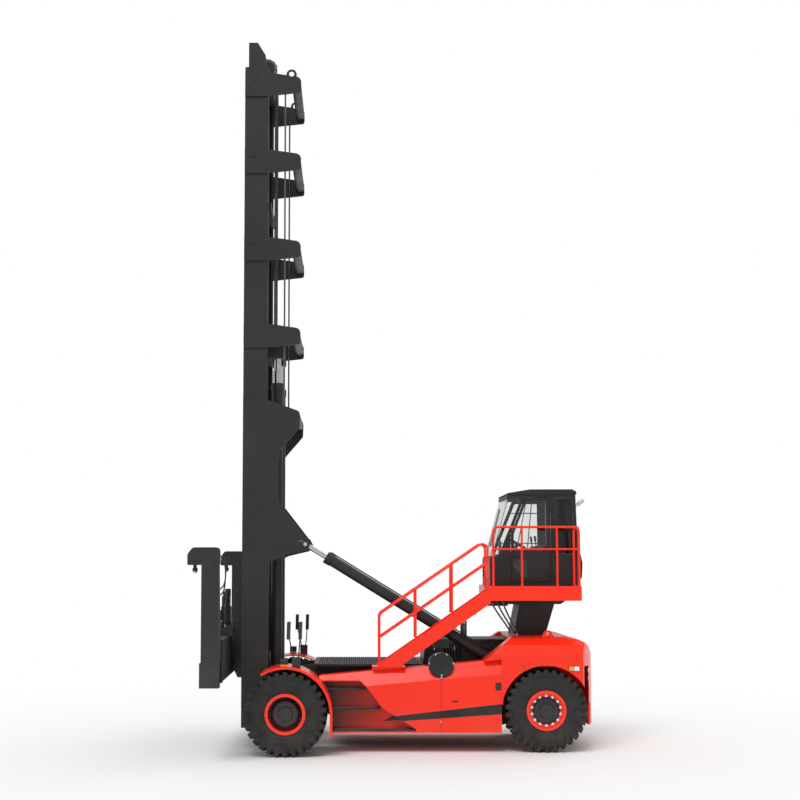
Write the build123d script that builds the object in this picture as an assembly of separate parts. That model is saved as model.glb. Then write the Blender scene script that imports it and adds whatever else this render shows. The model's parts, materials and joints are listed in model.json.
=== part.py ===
from build123d import *
import os
from math import atan2, cos, degrees, hypot, pi, radians, sin

os.makedirs("parts", exist_ok=True)

# Sizes in millimetres. x runs forward from the front axle, y to the left, z up from the ground.
# save() moves every piece so that the machine stands centred on the origin.
FRONT_REACH = 1520
REAR_REACH = 5350
FRONT_AXLE_X = (REAR_REACH - FRONT_REACH) / 2
TAIL_SIDE_X = 324 - REAR_REACH
SPINE_REAR = 250 - REAR_REACH
TAIL_LAMP_X = 440 - REAR_REACH
WHEELBASE = 4400
SEAT = 0.3

# Wheels and axles
TYRE_R = 700
TYRE_W = 375
RIM_R = 305
FLANGE_R = 338
RIM_HALF = 150
AXLE_Z = 700
FRONT_OUTER_Y = 1862.5
FRONT_INNER_Y = 1432.5
REAR_Y = 1245
KINGPIN_Y = 1125
REAR_X = -WHEELBASE
LUGS = 28
LUG_DEPTH = 48
WELL_R = 775
WELL_Z = 1445
ARCH_R = 760

# Mast
MAST_X0 = 388
MAST_X1 = 810
MAST_Y = 900
MAST_Z0 = 360
MAST_TOP = 12080
INNER_X0 = 448
INNER_X1 = 750
INNER_Y = 850
INNER_Z0 = 950
INNER_TOP = 12550
HINGE_X = 150
HINGE_Z = 1020
ARM_T = 25
PIPE_X = -114
PIPE_R = 83
RAM_X = 225
RAM_Y = 480
HEAD_Z = 6850
RAM_TOP = HEAD_Z - 450
STAGE_TOP = HEAD_Z - 230
CHAIN_Y = 300
SHEAVE_X = 455
SHEAVE_Z = 12250

# Tilt cylinders: mast pin A, frame pin B
TILT_A = (-292, 3520)
TILT_B = (-3600, 1490)
TILT_Y = 810
TILT_R = 95
TILT_ROD_R = 45

# Spreader
BEAM_X0 = 990
BEAM_X1 = 1260
BEAM_Z0 = 1280
BEAM_Z1 = 1950
BEAM_Y = 2700
BEAM_WALL = 15
SPREAD_Y = 3050

# Body
SIDE_Y = 1450
SILL_Z = 337
RAIL_Y0 = 600
RAIL_Y1 = 640
RAIL_TOP = 1420
PLATFORM_Z = 2800
PLATFORM_X0 = -5020
PLATFORM_X1 = -3468
CAB_Y = 750
CAB_WALL = 45


def block(x0, x1, y0, y1, z0, z1):
    middle = Pos((x0 + x1) / 2, (y0 + y1) / 2, (z0 + z1) / 2)
    return middle * Box(abs(x1 - x0), abs(y1 - y0), abs(z1 - z0))


def side_plate(outline, y0, y1):
    rim = Polyline(*[(x, y0, z) for x, z in outline], close=True)
    return extrude(make_face(rim), amount=y1 - y0, dir=(0, 1, 0))


def soft_plate(corners, y0, y1):
    path = [(x, y0, z) for x, z, r in corners]
    radii = [r for x, z, r in corners]
    rim = FilletPolyline(*path, radius=radii, close=True)
    return extrude(make_face(rim), amount=y1 - y0, dir=(0, 1, 0))


def plan_plate(outline, z0, z1):
    rim = Polyline(*[(x, y, z0) for x, y in outline], close=True)
    return extrude(make_face(rim), amount=z1 - z0, dir=(0, 0, 1))


def end_plate(outline, x0, x1):
    rim = Polyline(*[(x0, y, z) for y, z in outline], close=True)
    return extrude(make_face(rim), amount=x1 - x0, dir=(1, 0, 0))


def bar(start, end, radius):
    along = Vector(*end) - Vector(*start)
    place = Plane(origin=start, z_dir=along)
    return place * Cylinder(radius, along.length, align=(Align.CENTER, Align.CENTER, Align.MIN))


def across(x, z, y0, y1, radius):
    return bar((x, y0, z), (x, y1, z), radius)


def pipe(points, radius, bend):
    path = FilletPolyline(*points, radius=bend)
    mouth = Plane(origin=path @ 0, z_dir=path % 0)
    return sweep(mouth * Circle(radius), path=path)


def fuse(pieces):
    return pieces[0] + pieces[1:]


def right(shape):
    return mirror(shape, about=Plane.XZ)


def turned(profile):
    rim = Polyline(*[(r, y) for r, y in profile], close=True)
    return revolve(make_face(rim), axis=Axis.Y, revolution_arc=360)


def save(name, *pieces):
    solids = []
    for piece in pieces:
        solids.extend((Pos(FRONT_AXLE_X, 0, 0) * piece).solids())
    shape = solids[0] if len(solids) == 1 else Compound(children=solids)
    export_step(shape, "parts/" + name + ".step")


# Tyres: a many-sided carcass with straight lugs, one lug flat on the ground
PITCH = 2 * pi / LUGS
LAND = 0.28 * PITCH


def ring(radius, y):
    angles = [(k + 0.5) * PITCH for k in range(LUGS)]
    return make_face(Polyline(*[(radius * sin(a), y, -radius * cos(a)) for a in angles], close=True))


def tyre():
    half = TYRE_W / 2
    shoulder = TYRE_R - LUG_DEPTH
    carcass = loft([ring(520, -half), ring(shoulder, 20 - half), ring(shoulder, half - 20), ring(520, half)],
                   ruled=True)
    outline = []
    for k in range(LUGS):
        middle = k * PITCH
        for shift, radius in ((-0.40, 600), (-0.28, 0), (0.28, 0), (0.40, 600)):
            reach = radius if radius else TYRE_R / cos(LAND)
            angle = middle + shift * PITCH
            outline.append((reach * sin(angle), 24 - half, -reach * cos(angle)))
    lugs = extrude(make_face(Polyline(*outline, close=True)), amount=TYRE_W - 48, dir=(0, 1, 0))
    bore = (RIM_R + SEAT) / cos(PITCH / 2)
    hole = loft([ring(bore, -half - 5), ring(bore, half + 5)], ruled=True)
    dish = loft([ring(FLANGE_R + 6, RIM_HALF), ring(515, half + 3)], ruled=True)
    return carcass + lugs - hole - dish - right(dish)


plain_tyre = tyre()


def tyre_at(x, y):
    return Pos(x, y, AXLE_Z) * plain_tyre


front_tyres = [tyre_at(0, FRONT_INNER_Y), tyre_at(0, FRONT_OUTER_Y)]
save("front_tyres_left", *front_tyres)
save("front_tyres_right", *[right(t) for t in front_tyres])
rear_tyre = tyre_at(REAR_X, REAR_Y)
save("rear_tyre_left", rear_tyre)
save("rear_tyre_right", right(rear_tyre))

# Wheels: barrel, flanges, disc and hub in one turned form; radius and y
FLANGE_T = 18
IN_A = FRONT_INNER_Y - RIM_HALF - SEAT
IN_B = FRONT_INNER_Y + RIM_HALF + SEAT
OUT_A = FRONT_OUTER_Y - RIM_HALF - SEAT
OUT_B = FRONT_OUTER_Y + RIM_HALF + SEAT
FRONT_SPINDLE_R = 110
front_profile = [
    (0, 1900), (FRONT_SPINDLE_R + SEAT, 1900), (FRONT_SPINDLE_R + SEAT, 1275), (230, 1275), (230, 1630),
    (286, 1630), (286, IN_A - FLANGE_T), (FLANGE_R, IN_A - FLANGE_T), (FLANGE_R, IN_A), (RIM_R, IN_A),
    (RIM_R, IN_B), (FLANGE_R, IN_B), (FLANGE_R, IN_B + FLANGE_T), (RIM_R, IN_B + FLANGE_T),
    (RIM_R, OUT_A - FLANGE_T), (FLANGE_R, OUT_A - FLANGE_T), (FLANGE_R, OUT_A), (RIM_R, OUT_A),
    (RIM_R, OUT_B), (FLANGE_R, OUT_B), (FLANGE_R, OUT_B + FLANGE_T), (286, OUT_B + FLANGE_T),
    (286, 1660), (235, 1660), (235, 1900), (205, 1930), (120, 1930), (110, 1965), (0, 1965)]
front_wheel = Pos(0, 0, AXLE_Z) * turned(front_profile)
save("front_wheel_left", front_wheel)
save("front_wheel_right", right(front_wheel))

REAR_SPINDLE_R = 60
SIDE_A = REAR_Y - RIM_HALF - SEAT
SIDE_B = REAR_Y + RIM_HALF + SEAT
rear_profile = [
    (0, 1405), (REAR_SPINDLE_R + SEAT, 1405), (REAR_SPINDLE_R + SEAT, 1265), (150, 1265), (150, 1330),
    (286, 1330), (286, SIDE_A - FLANGE_T), (FLANGE_R, SIDE_A - FLANGE_T), (FLANGE_R, SIDE_A),
    (RIM_R, SIDE_A), (RIM_R, SIDE_B), (FLANGE_R, SIDE_B), (FLANGE_R, SIDE_B + FLANGE_T),
    (286, SIDE_B + FLANGE_T), (286, 1352), (225, 1352), (205, 1372), (120, 1380), (110, 1430), (0, 1430)]
rear_wheel = Pos(REAR_X, 0, AXLE_Z) * turned(rear_profile)
save("rear_wheel_left", rear_wheel)
save("rear_wheel_right", right(rear_wheel))

# Axles
housing = turned([
    (0, -1888), (FRONT_SPINDLE_R, -1888), (FRONT_SPINDLE_R, -1190), (170, -1190), (170, -420), (250, -200),
    (250, 200), (170, 420), (170, 1190), (FRONT_SPINDLE_R, 1190), (FRONT_SPINDLE_R, 1888), (0, 1888)])
saddle = block(-170, 30, RAIL_Y0 - 5, RAIL_Y1, AXLE_Z + 100, 930)
save("drive_axle", fuse([Pos(0, 0, AXLE_Z) * housing, saddle, right(saddle)]))

KINGPIN_R = 28
FORK_HALF = 50


def fork(side):
    y0, y1 = sorted((690 * side, KINGPIN_Y * side))
    s0, s1 = sorted((925 * side, (KINGPIN_Y + 90) * side))
    neck = block(REAR_X - FORK_HALF, REAR_X + FORK_HALF, y0, y1, 560, 840)
    eye = bar((REAR_X, KINGPIN_Y * side, 560), (REAR_X, KINGPIN_Y * side, 840), 70)
    slot = block(REAR_X - 90, REAR_X + 90, s0, s1, 630, 770)
    pin = bar((REAR_X, KINGPIN_Y * side, 550), (REAR_X, KINGPIN_Y * side, 850), KINGPIN_R)
    return neck + eye - slot + pin


beam = block(REAR_X - 140, REAR_X + 140, -700, 700, 570, 830)
save("steer_axle", fuse([beam, fork(1), fork(-1)]))

KNUCKLE_LOW = 630 + SEAT
KNUCKLE_HIGH = 770 - SEAT
knuckle = bar((REAR_X, KINGPIN_Y, KNUCKLE_LOW), (REAR_X, KINGPIN_Y, KNUCKLE_HIGH), 68)
knuckle += across(REAR_X, AXLE_Z, KINGPIN_Y, 1400, REAR_SPINDLE_R)
knuckle += block(REAR_X, REAR_X + 215, KINGPIN_Y - 22, KINGPIN_Y + 22, 680, 720)
knuckle -= bar((REAR_X, KINGPIN_Y, 600), (REAR_X, KINGPIN_Y, 800), KINGPIN_R + SEAT)
save("steer_knuckle_left", knuckle)
save("steer_knuckle_right", right(knuckle))

# Chassis frame: rails, cross members, hinge eyes, tilt clevises, rear spine and front deck
HINGE_PIN_R = 45
TILT_PIN_R = 35
rail_outline = [
    (HINGE_X + 20, 930), (HINGE_X + 60, 1125), (40, 1300), (-250, RAIL_TOP), (-3540, RAIL_TOP),
    (-3540, 760), (-3300, 560), (-700, 560), (-480, 930)]
rail = side_plate(rail_outline, RAIL_Y0, RAIL_Y1) + across(HINGE_X, HINGE_Z, RAIL_Y0, RAIL_Y1, 112)
rail -= across(HINGE_X, HINGE_Z, RAIL_Y0 - 5, RAIL_Y1 + 5, HINGE_PIN_R + SEAT)
clevis_outline = [
    (-3500, 1150), (-3500, RAIL_TOP), (-3550, 1560), (-3640, 1560), (-3672, 1500), (-3650, 1430), (-3540, 1150)]
clevis = side_plate(clevis_outline, 740, 765) + side_plate(clevis_outline, 855, 880)
clevis += across(TILT_B[0], TILT_B[1], 740, 880, TILT_PIN_R)
members = [
    (-650, -560, -600, 600, 700, 1150),
    (-2080, -2000, -600, 600, 620, 900),
    (-3540, -3500, -930, 930, 760, 1420),
    (SPINE_REAR, -3540, -420, 420, 980, 1500),
    (-4540, -4260, -300, 300, 830, 990),
    (-2345, -450, -945, 945, 1420, 1460),
    (-1300, -1220, -1434.7, 1235.7, 560, 660),
    (-2560, -2480, -1434.7, 1434.7, 560, 660),
    (-3500, -3420, -1434.7, 1434.7, 760, 860)]
frame = fuse([rail, right(rail), clevis, right(clevis)] + [block(*row) for row in members])
save("chassis_frame", frame)

engine = fuse([
    block(-3350, -2420, -420, 420, 800, 1620),
    block(-2750, -2650, -599.7, 599.7, 980, 1040),
    block(-3250, -3150, -599.7, 599.7, 980, 1040)])
save("engine", engine)


def hood_form(inset, low):
    return side_plate([
        (-2350 - inset, low), (-2385 - inset, 1800 - inset), (-2480 - inset / 2, 1860 - inset),
        (-3840 + inset, 1860 - inset), (-3840 + inset, 1501 - inset), (-3539 + inset, 1501 - inset),
        (-3539 + inset, low)], inset - RAIL_Y1, RAIL_Y1 - inset)


LOUVRES = 9
LOUVRE_X = -2560
LOUVRE_PITCH = 55
hood = hood_form(0, RAIL_TOP) - hood_form(14, RAIL_TOP - 20)
for side in (1, -1):
    bevel = end_plate([(RAIL_Y1 * side, 1780), (RAIL_Y1 * side, 1900), (520 * side, 1900)], -3850, -2340)
    hood -= bevel
for k in range(LOUVRES):
    x = LOUVRE_X - LOUVRE_PITCH * k
    hood -= block(x - 12, x + 12, -700, 700, 1560, 1740)
save("engine_hood", hood)


# Side panels: folded shells between the fender and the rear wheel
TOP_X0 = -550
TOP_X1 = -3640
TOP_Z0 = 1284
TOP_Z1 = 1560
TOP_SLOPE = (TOP_Z0 - TOP_Z1) / (TOP_X0 - TOP_X1)
FENDER_R = 780
LIP_R = 738


def top_z(x):
    return TOP_Z0 + TOP_SLOPE * (x - TOP_X0)


def sloped(outline, x0, x1):
    length = abs(x1 - x0) * hypot(1, TOP_SLOPE)
    rim = Polyline(*[(x0, y, z + top_z(x0)) for y, z in outline], close=True)
    return extrude(make_face(rim), amount=length, dir=(-1, 0, -TOP_SLOPE))


def wheel_well():
    swing = bar((REAR_X, KINGPIN_Y, -10), (REAR_X, KINGPIN_Y, WELL_Z), WELL_R)
    swing = swing & block(REAR_X - 900, REAR_X + 900, 0, SIDE_Y - 50, -20, 2000)
    return swing + across(REAR_X, AXLE_Z, SIDE_Y - 60, SIDE_Y + 60, ARCH_R)


well = wheel_well()
TREADS = [(-600, -1350, 1077), (-700, -1600, 755), (-700, -2180, 390)]
RECESS_Y = 1250
recess_outline = [
    (-560, 1200), (-1240, 1200), (-1370, 1080), (-1610, 758), (-2190, 393), (-2190, 364), (-560, 364)]
pocket_outline = [
    (-560, 1214), (-1246, 1214), (-1384, 1086), (-1622, 768), (-2204, 402), (-2204, 340), (-560, 340)]


def side_panel(with_steps):
    body = side_plate([(TOP_X0, SILL_Z), (TOP_X0, TOP_Z0), (TOP_X1, TOP_Z1), (TOP_X1, SILL_Z)], 950, SIDE_Y)
    body -= sloped([(SIDE_Y - 120, 0), (SIDE_Y - 120, 60), (SIDE_Y + 60, 60), (SIDE_Y + 60, -240), (SIDE_Y, -240)],
                   TOP_X0 + 60, TOP_X1 - 60)
    body -= sloped([(930, -600), (930, -14), (SIDE_Y - 130, -14), (SIDE_Y - 15, -244), (SIDE_Y - 15, -600)],
                   TOP_X0 + 60, TOP_X1 + 14)
    body -= block(TOP_X1 + 14, TOP_X0 + 60, 930, SIDE_Y - 15, SILL_Z + 14, 1000)
    if with_steps:
        body += side_plate(pocket_outline, RECESS_Y - 14, SIDE_Y - 5)
        body -= side_plate(recess_outline, RECESS_Y, SIDE_Y + 5)
        for x0, x1, z in TREADS:
            body += block(x0, x1, RECESS_Y - 5, SIDE_Y, z - 27, z)
        body -= across(DRUM_X, DRUM_Z, 900, SIDE_Y + 10, DRUM_R + SEAT)
    body -= block(SEAM_X - 4, SEAM_X + 4, SIDE_Y - 5, SIDE_Y + 5, SILL_Z - 5, 1300)
    body -= across(0, AXLE_Z, 900, SIDE_Y + 10, FENDER_R + SEAT)
    body -= block(-FENDER_R - SEAT, 0, 900, SIDE_Y + 10, 200, AXLE_Z)
    return body - well


SEAM_X = -2617
DRUM_X = -2620
DRUM_Z = 1464
DRUM_R = 208
save("side_panel_left", side_panel(True))
save("side_panel_right", right(side_panel(False)))

drum = across(DRUM_X, DRUM_Z, 985, SIDE_Y, DRUM_R)
drum += bar((DRUM_X, 1200, DRUM_Z), (DRUM_X, 1200, 1760), 60)
drum += block(-2760, -2500, 1090, 1310, 1750, 1880)
drum += across(DRUM_X, DRUM_Z, SIDE_Y - 5, SIDE_Y + 16, DRUM_R - 22)
drum += across(DRUM_X, DRUM_Z, SIDE_Y + 10, SIDE_Y + 30, 26)
save("air_cleaner", drum)

exhaust = bar((-3090, 300, 1860), (-3090, 300, 2170), 58)
exhaust += pipe([(-3090, 300, 2150), (-3090, 300, 2230), (-3420, 300, 2480), (-3880, 300, 2480)], 45, [90, 120])
save("exhaust_pipe", exhaust)

# Front fenders: an arc over each pair of tyres with a folded lip, then straight down behind them
FENDER_T = 20
FENDER_Y0 = 1200
FENDER_Y1 = 2050
FENDER_Z0 = 330
LIP_Y = FENDER_Y1 - 16
fender = across(0, AXLE_Z, FENDER_Y0, FENDER_Y1, FENDER_R)
fender -= across(0, AXLE_Z, FENDER_Y0 - 10, FENDER_Y1 + 10, FENDER_R - FENDER_T)
fender += across(0, AXLE_Z, LIP_Y, FENDER_Y1, FENDER_R - 5) - across(0, AXLE_Z, LIP_Y - 5, FENDER_Y1 + 5, LIP_R)
fender -= block(-900, 900, FENDER_Y0 - 10, FENDER_Y1 + 10, -200, AXLE_Z)
fender -= side_plate([(0, AXLE_Z), (1000, AXLE_Z), (1000, AXLE_Z + 1600)], FENDER_Y0 - 10, FENDER_Y1 + 10)
fender += block(-FENDER_R, FENDER_T - FENDER_R, FENDER_Y0, FENDER_Y1, FENDER_Z0, AXLE_Z)
fender += block(5 - FENDER_R, -LIP_R, LIP_Y, FENDER_Y1, FENDER_Z0, AXLE_Z)
save("front_fenders", fender, right(fender))

# Counterweight: the common part of a side, a plan and a rear outline, less the wells and the slot
TAIL_R = 580
side_form = soft_plate([
    (-3340, 1535, 5), (-3845, 1930, 60), (-REAR_REACH, 1930, TAIL_R), (-REAR_REACH, 800, 90),
    (TOP_X1 - 1.3, 800, 5), (TOP_X1 - 1.3, 1562.5, 1)], -1500, 1500)
tail = ThreePointArc((TAIL_SIDE_X, SIDE_Y, 700), (-REAR_REACH, 0, 700), (TAIL_SIDE_X, -SIDE_Y, 700))
flank = Polyline((TAIL_SIDE_X, -SIDE_Y, 700), (-3300, -SIDE_Y, 700), (-3300, SIDE_Y, 700),
                 (TAIL_SIDE_X, SIDE_Y, 700))
plan_form = extrude(make_face([tail, flank]), amount=1400, dir=(0, 0, 1))
rear_form = end_plate([
    (-SIDE_Y, 700), (SIDE_Y, 700), (SIDE_Y, 1640), (1380, 1800), (1240, 1900), (1100, 1930), (-1100, 1930),
    (-1240, 1900), (-1380, 1800), (-SIDE_Y, 1640)], -REAR_REACH - 150, -3200)
weight = side_form & plan_form & rear_form
weight -= block(-3860, -3200, -950, 950, 600, 2000)
weight -= block(SPINE_REAR - 5, -3200, -425, 425, 600, 1500)
weight = weight - well - right(well)
save("counterweight", weight)

LUG_X = 870 - REAR_REACH
LUG_Z = 1980
lug = soft_plate([
    (LUG_X - 110, 1930, 5), (LUG_X - 50, 2036, 50), (LUG_X + 50, 2036, 50), (LUG_X + 110, 1930, 5)], 1040, 1090)
lug -= across(LUG_X, LUG_Z, 1000, 1200, 30)
save("lifting_lugs", lug, right(lug))

# Cab pedestal, platform, stairs and rails
pedestal = side_plate([(-3960, 1930), (-4520, 1930), (-4710, 2553), (-4085, 2553)], -470, 470)
save("cab_pedestal", pedestal)

PLAT_LOW = 2553
skirts = [
    (PLATFORM_X0, PLATFORM_X1, -800, SIDE_Y, 2770, PLATFORM_Z),
    (PLATFORM_X0, PLATFORM_X1, SIDE_Y - 25, SIDE_Y, PLAT_LOW, 2790),
    (PLATFORM_X0, PLATFORM_X1, -800, -775, PLAT_LOW, 2790),
    (PLATFORM_X1 - 25, PLATFORM_X1, -800, SIDE_Y, PLAT_LOW, 2790),
    (PLATFORM_X0, PLATFORM_X0 + 25, -800, SIDE_Y, PLAT_LOW, 2790),
    (-4710, -4085, -470, -420, PLAT_LOW, 2780),
    (-4710, -4085, 420, 470, PLAT_LOW, 2780)]
save("platform", fuse([block(*row) for row in skirts]))

STAIR_SLOPE = 0.685
STAIR_Y0 = 955
STAIR_Y1 = 1450
STAIR_END = PLATFORM_X1 + SEAT


def stair_z(x):
    return 1430 - STAIR_SLOPE * (x + 1500)


LANDING_Z = 1447
stringer = [
    (-1500 - (LANDING_Z - 1430) / STAIR_SLOPE, LANDING_Z), (STAIR_END, stair_z(STAIR_END)),
    (STAIR_END, stair_z(STAIR_END) - 270), (-1919, LANDING_Z)]
steps = [side_plate(stringer, STAIR_Y0, STAIR_Y0 + 25), side_plate(stringer, STAIR_Y1 - 25, STAIR_Y1)]
for k in range(1, 6):
    z = LANDING_Z + 225.5 * k
    x = -1500 - (z - 1430) / STAIR_SLOPE
    steps.append(block(x - 215, x - 5, STAIR_Y0 + 10, STAIR_Y1 - 10, z - 60, z - 30))
wedge = [(-1450, LANDING_Z), (-2010, LANDING_Z), (-2010, top_z(-2010) + SEAT), (-1450, top_z(-1450) + SEAT)]
steps.append(side_plate(wedge, STAIR_Y0, 1320))
steps.append(block(-2010, -1450, STAIR_Y0, STAIR_Y1, LANDING_Z - 15, LANDING_Z))
save("stairs", fuse(steps))

RAIL_R = 20


def stair_rail(y):
    x0, x1 = -1572, -3420
    rise = STAIR_SLOPE * (x0 - x1)
    top = pipe([(x0, y, stair_z(x0) + 14), (x0, y, 2330), (x1, y, 2330 + rise), (x1, y, stair_z(x1) + 14)],
               RAIL_R, [110, 90])
    mid = bar((x0, y, 1930), (x1, y, 1930 + rise), 16)
    posts = [bar((x, y, stair_z(x) + 13), (x, y, 2330 + STAIR_SLOPE * (x0 - x)), 18) for x in (-2190, -2810)]
    return fuse([top, mid] + posts)


def deck_rail(x0, x1, y0, y1, inner_posts):
    low = PLATFORM_Z
    top = pipe([(x0, y0, low), (x0, y0, 3807), (x1, y1, 3807), (x1, y1, low)], RAIL_R, 90)
    mid = bar((x0, y0, 3430), (x1, y1, 3430), 16)
    posts = [bar((x, y, low), (x, y, 3800), 18) for x, y in inner_posts]
    return fuse([top, mid] + posts)


POST_Y = 1425
save("handrails", stair_rail(STAIR_Y1 - 12.5), stair_rail(STAIR_Y0 + 12.5),
     deck_rail(-3519, -4985, POST_Y, POST_Y, [(-4009, POST_Y), (-4610, POST_Y)]),
     deck_rail(-4990, -4990, 1340, 800, []))


# Cab: a hollow welded shell with its windows cut, a roof cap, panes and a hinged door
CAB_TOP = 4400
CAB_REAR = -5070
CAB_NOSE = -3530
NOSE_Z = 3260
CAB_LEAN = 0.28
PILLAR_X = -3660
PILLAR_LEAN = 0.404
PILLAR_W = 50
PANE_OUT = CAB_Y - 19
PANE_IN = CAB_Y - 26
DOOR_GAP = 10
DOOR_LOW = 2860
DOOR_HIGH = 4350
DOOR_FRONT = -3890
DOOR_REAR = -4600
DOOR_BEND = NOSE_Z + (PILLAR_X - PILLAR_W - DOOR_FRONT) / PILLAR_LEAN


def front_x(z):
    return CAB_NOSE - CAB_LEAN * max(z - NOSE_Z, 0)


def pillar_x(z):
    return PILLAR_X - PILLAR_LEAN * max(z - NOSE_Z, 0)


def cab_form(inset, low, high):
    return side_plate([
        (CAB_NOSE - inset, low), (CAB_NOSE - inset, NOSE_Z), (front_x(high) - inset, high), (-5040 + inset, high),
        (CAB_REAR + inset, 3500), (CAB_REAR + inset, low)], inset - CAB_Y, CAB_Y - inset)


def lean_pane(z0, z1, back0, back1, y0, y1):
    return side_plate([(front_x(z0) - back0, z0), (front_x(z1) - back0, z1), (front_x(z1) - back1, z1),
                       (front_x(z0) - back1, z0)], y0, y1)


def door_form(gap):
    z0 = DOOR_LOW + gap
    z1 = DOOR_HIGH - gap
    return [(DOOR_FRONT - gap, z0), (DOOR_FRONT - gap, DOOR_BEND), (pillar_x(z1) - PILLAR_W - gap, z1),
            (DOOR_REAR + gap, z1), (DOOR_REAR + gap, z0)]


def window(outline, side):
    y0, y1 = sorted(((CAB_Y - 60) * side, (CAB_Y + 10) * side))
    return side_plate(outline, y0, y1)


def pane(outline, side):
    y0, y1 = sorted((PANE_IN * side, PANE_OUT * side))
    rim = make_face(Polyline(*[(x, y0, z) for x, z in outline], close=True))
    return extrude(offset(rim, amount=-SEAT, kind=Kind.INTERSECTION), amount=y1 - y0, dir=(0, 1, 0))


# Windows: corners of each outline in x and z
SCREEN_LOW = 3310
SCREEN_HIGH = 4340
CORNER = [
    (front_x(SCREEN_LOW) + 20, SCREEN_LOW), (front_x(SCREEN_HIGH) + 20, SCREEN_HIGH),
    (pillar_x(SCREEN_HIGH), SCREEN_HIGH), (pillar_x(SCREEN_LOW), SCREEN_LOW)]
CORNER_PANE = [
    (front_x(SCREEN_LOW) - 27, SCREEN_LOW), (front_x(SCREEN_HIGH) - 27, SCREEN_HIGH), *CORNER[2:]]
QUARTER = [(-4690, 3350), (-4690, 4330), (-4985, 4330), (-4985, 3350)]
GUARD_LOW = 3350
GUARD_HIGH = 4300
GUARD_REAR = -4560
GUARDED = [
    (pillar_x(GUARD_LOW) - PILLAR_W, GUARD_LOW), (pillar_x(GUARD_HIGH) - PILLAR_W, GUARD_HIGH),
    (GUARD_REAR, GUARD_HIGH), (GUARD_REAR, GUARD_LOW)]
SASH = 50
PANE_HIGH = 4270
DOOR_UPPER = [
    (DOOR_FRONT - SASH, 3420), (DOOR_FRONT - SASH, DOOR_BEND), (pillar_x(PANE_HIGH) - PILLAR_W - SASH, PANE_HIGH),
    (-4530, PANE_HIGH), (-4530, 3420)]
DOOR_LOWER = [(-3940, 3130), (-3965, 3250), (-4190, 3250), (-4190, 2950), (-4070, 2950)]
HINGE_AXIS = (DOOR_REAR, CAB_Y + 20)
HINGE_HEIGHTS = [3000, 4150]
SCREEN_Y = CAB_Y - 20
TOE_LOW = 2930
TOE_HIGH = 3220
TOE_Y = 620
REAR_LOW = 3480
REAR_HIGH = 4330
REAR_PANE_Y = 640

shell = cab_form(0, PLATFORM_Z, CAB_TOP) - cab_form(CAB_WALL, PLATFORM_Z + 50, CAB_TOP + 50)
shell -= lean_pane(SCREEN_LOW, SCREEN_HIGH, -60, 110, -CAB_Y - 10, CAB_Y + 10)
shell -= block(CAB_NOSE - 60, CAB_NOSE + 10, -TOE_Y, TOE_Y, TOE_LOW, TOE_HIGH)
shell -= window(door_form(0), 1)
for side in (1, -1):
    shell -= window(CORNER, side) + window(QUARTER, side)
shell -= window(GUARDED, -1)
shell -= block(CAB_REAR - 20, CAB_REAR + 100, -REAR_PANE_Y, REAR_PANE_Y, REAR_LOW, REAR_HIGH)
shell += soft_plate([
    (CAB_REAR + 5, 2900, 2), (CAB_REAR + 5, 3420, 2), (-5170, 3400, 60), (-5215, 3200, 90), (-5200, 2910, 50)],
    -350, 350)
for z in HINGE_HEIGHTS:
    shell += block(DOOR_REAR - 50, DOOR_REAR - 2, CAB_Y - 1, CAB_Y + 36, z - 60, z - 25)
    shell += block(DOOR_REAR - 10, DOOR_REAR + 9, CAB_Y + 6, CAB_Y + 36, z - 60, z - 25)
    shell += bar((*HINGE_AXIS, z - 60), (*HINGE_AXIS, z + 40), 8)
GUARD_R = 9
GUARD_Y = GUARD_R - CAB_Y - 4
for share in (0.25, 0.5, 0.75):
    ends = []
    for z in (GUARD_LOW, GUARD_HIGH):
        front = pillar_x(z) - PILLAR_W
        ends.append((front + share * (GUARD_REAR - front), GUARD_Y, z - 8 if z == GUARD_LOW else z + 8))
    shell += bar(*ends, GUARD_R)
for z in (3560, 4120):
    shell += bar((pillar_x(z) - PILLAR_W + 8, GUARD_Y, z), (GUARD_REAR - 8, GUARD_Y, z), GUARD_R)
save("cab_shell", shell)

SKY_X0 = -3905
SKY_X1 = -4225
SKY_Y = 640
roof = side_plate([
    (front_x(CAB_TOP) + 20, CAB_TOP), (front_x(CAB_TOP) - 5, 4425), (-4240, 4488), (-4980, 4490), (-5050, 4455),
    (-5062, CAB_TOP)], -765, 765)
roof -= block(SKY_X1, SKY_X0, -SKY_Y, SKY_Y, CAB_TOP - 10, 4600)
save("cab_roof", roof)

door = side_plate(door_form(DOOR_GAP), CAB_Y - CAB_WALL, CAB_Y)
door -= window(DOOR_UPPER, 1) + window(DOOR_LOWER, 1)
for z in HINGE_HEIGHTS:
    leaf = block(HINGE_AXIS[0], DOOR_REAR + 70, CAB_Y - 5, CAB_Y + 30, z - 20, z + 40)
    leaf -= block(DOOR_REAR - 40, DOOR_REAR + DOOR_GAP, CAB_Y - 30, CAB_Y + 4, z - 30, z + 50)
    leaf += bar((*HINGE_AXIS, z - 20), (*HINGE_AXIS, z + 40), 16)
    door += leaf - bar((*HINGE_AXIS, z - 30), (*HINGE_AXIS, z + 50), 8 + SEAT)
door += block(DOOR_FRONT - 100, DOOR_FRONT - 30, CAB_Y - 5, CAB_Y + 30, 3310, 3350)
save("cab_door", door)

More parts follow.
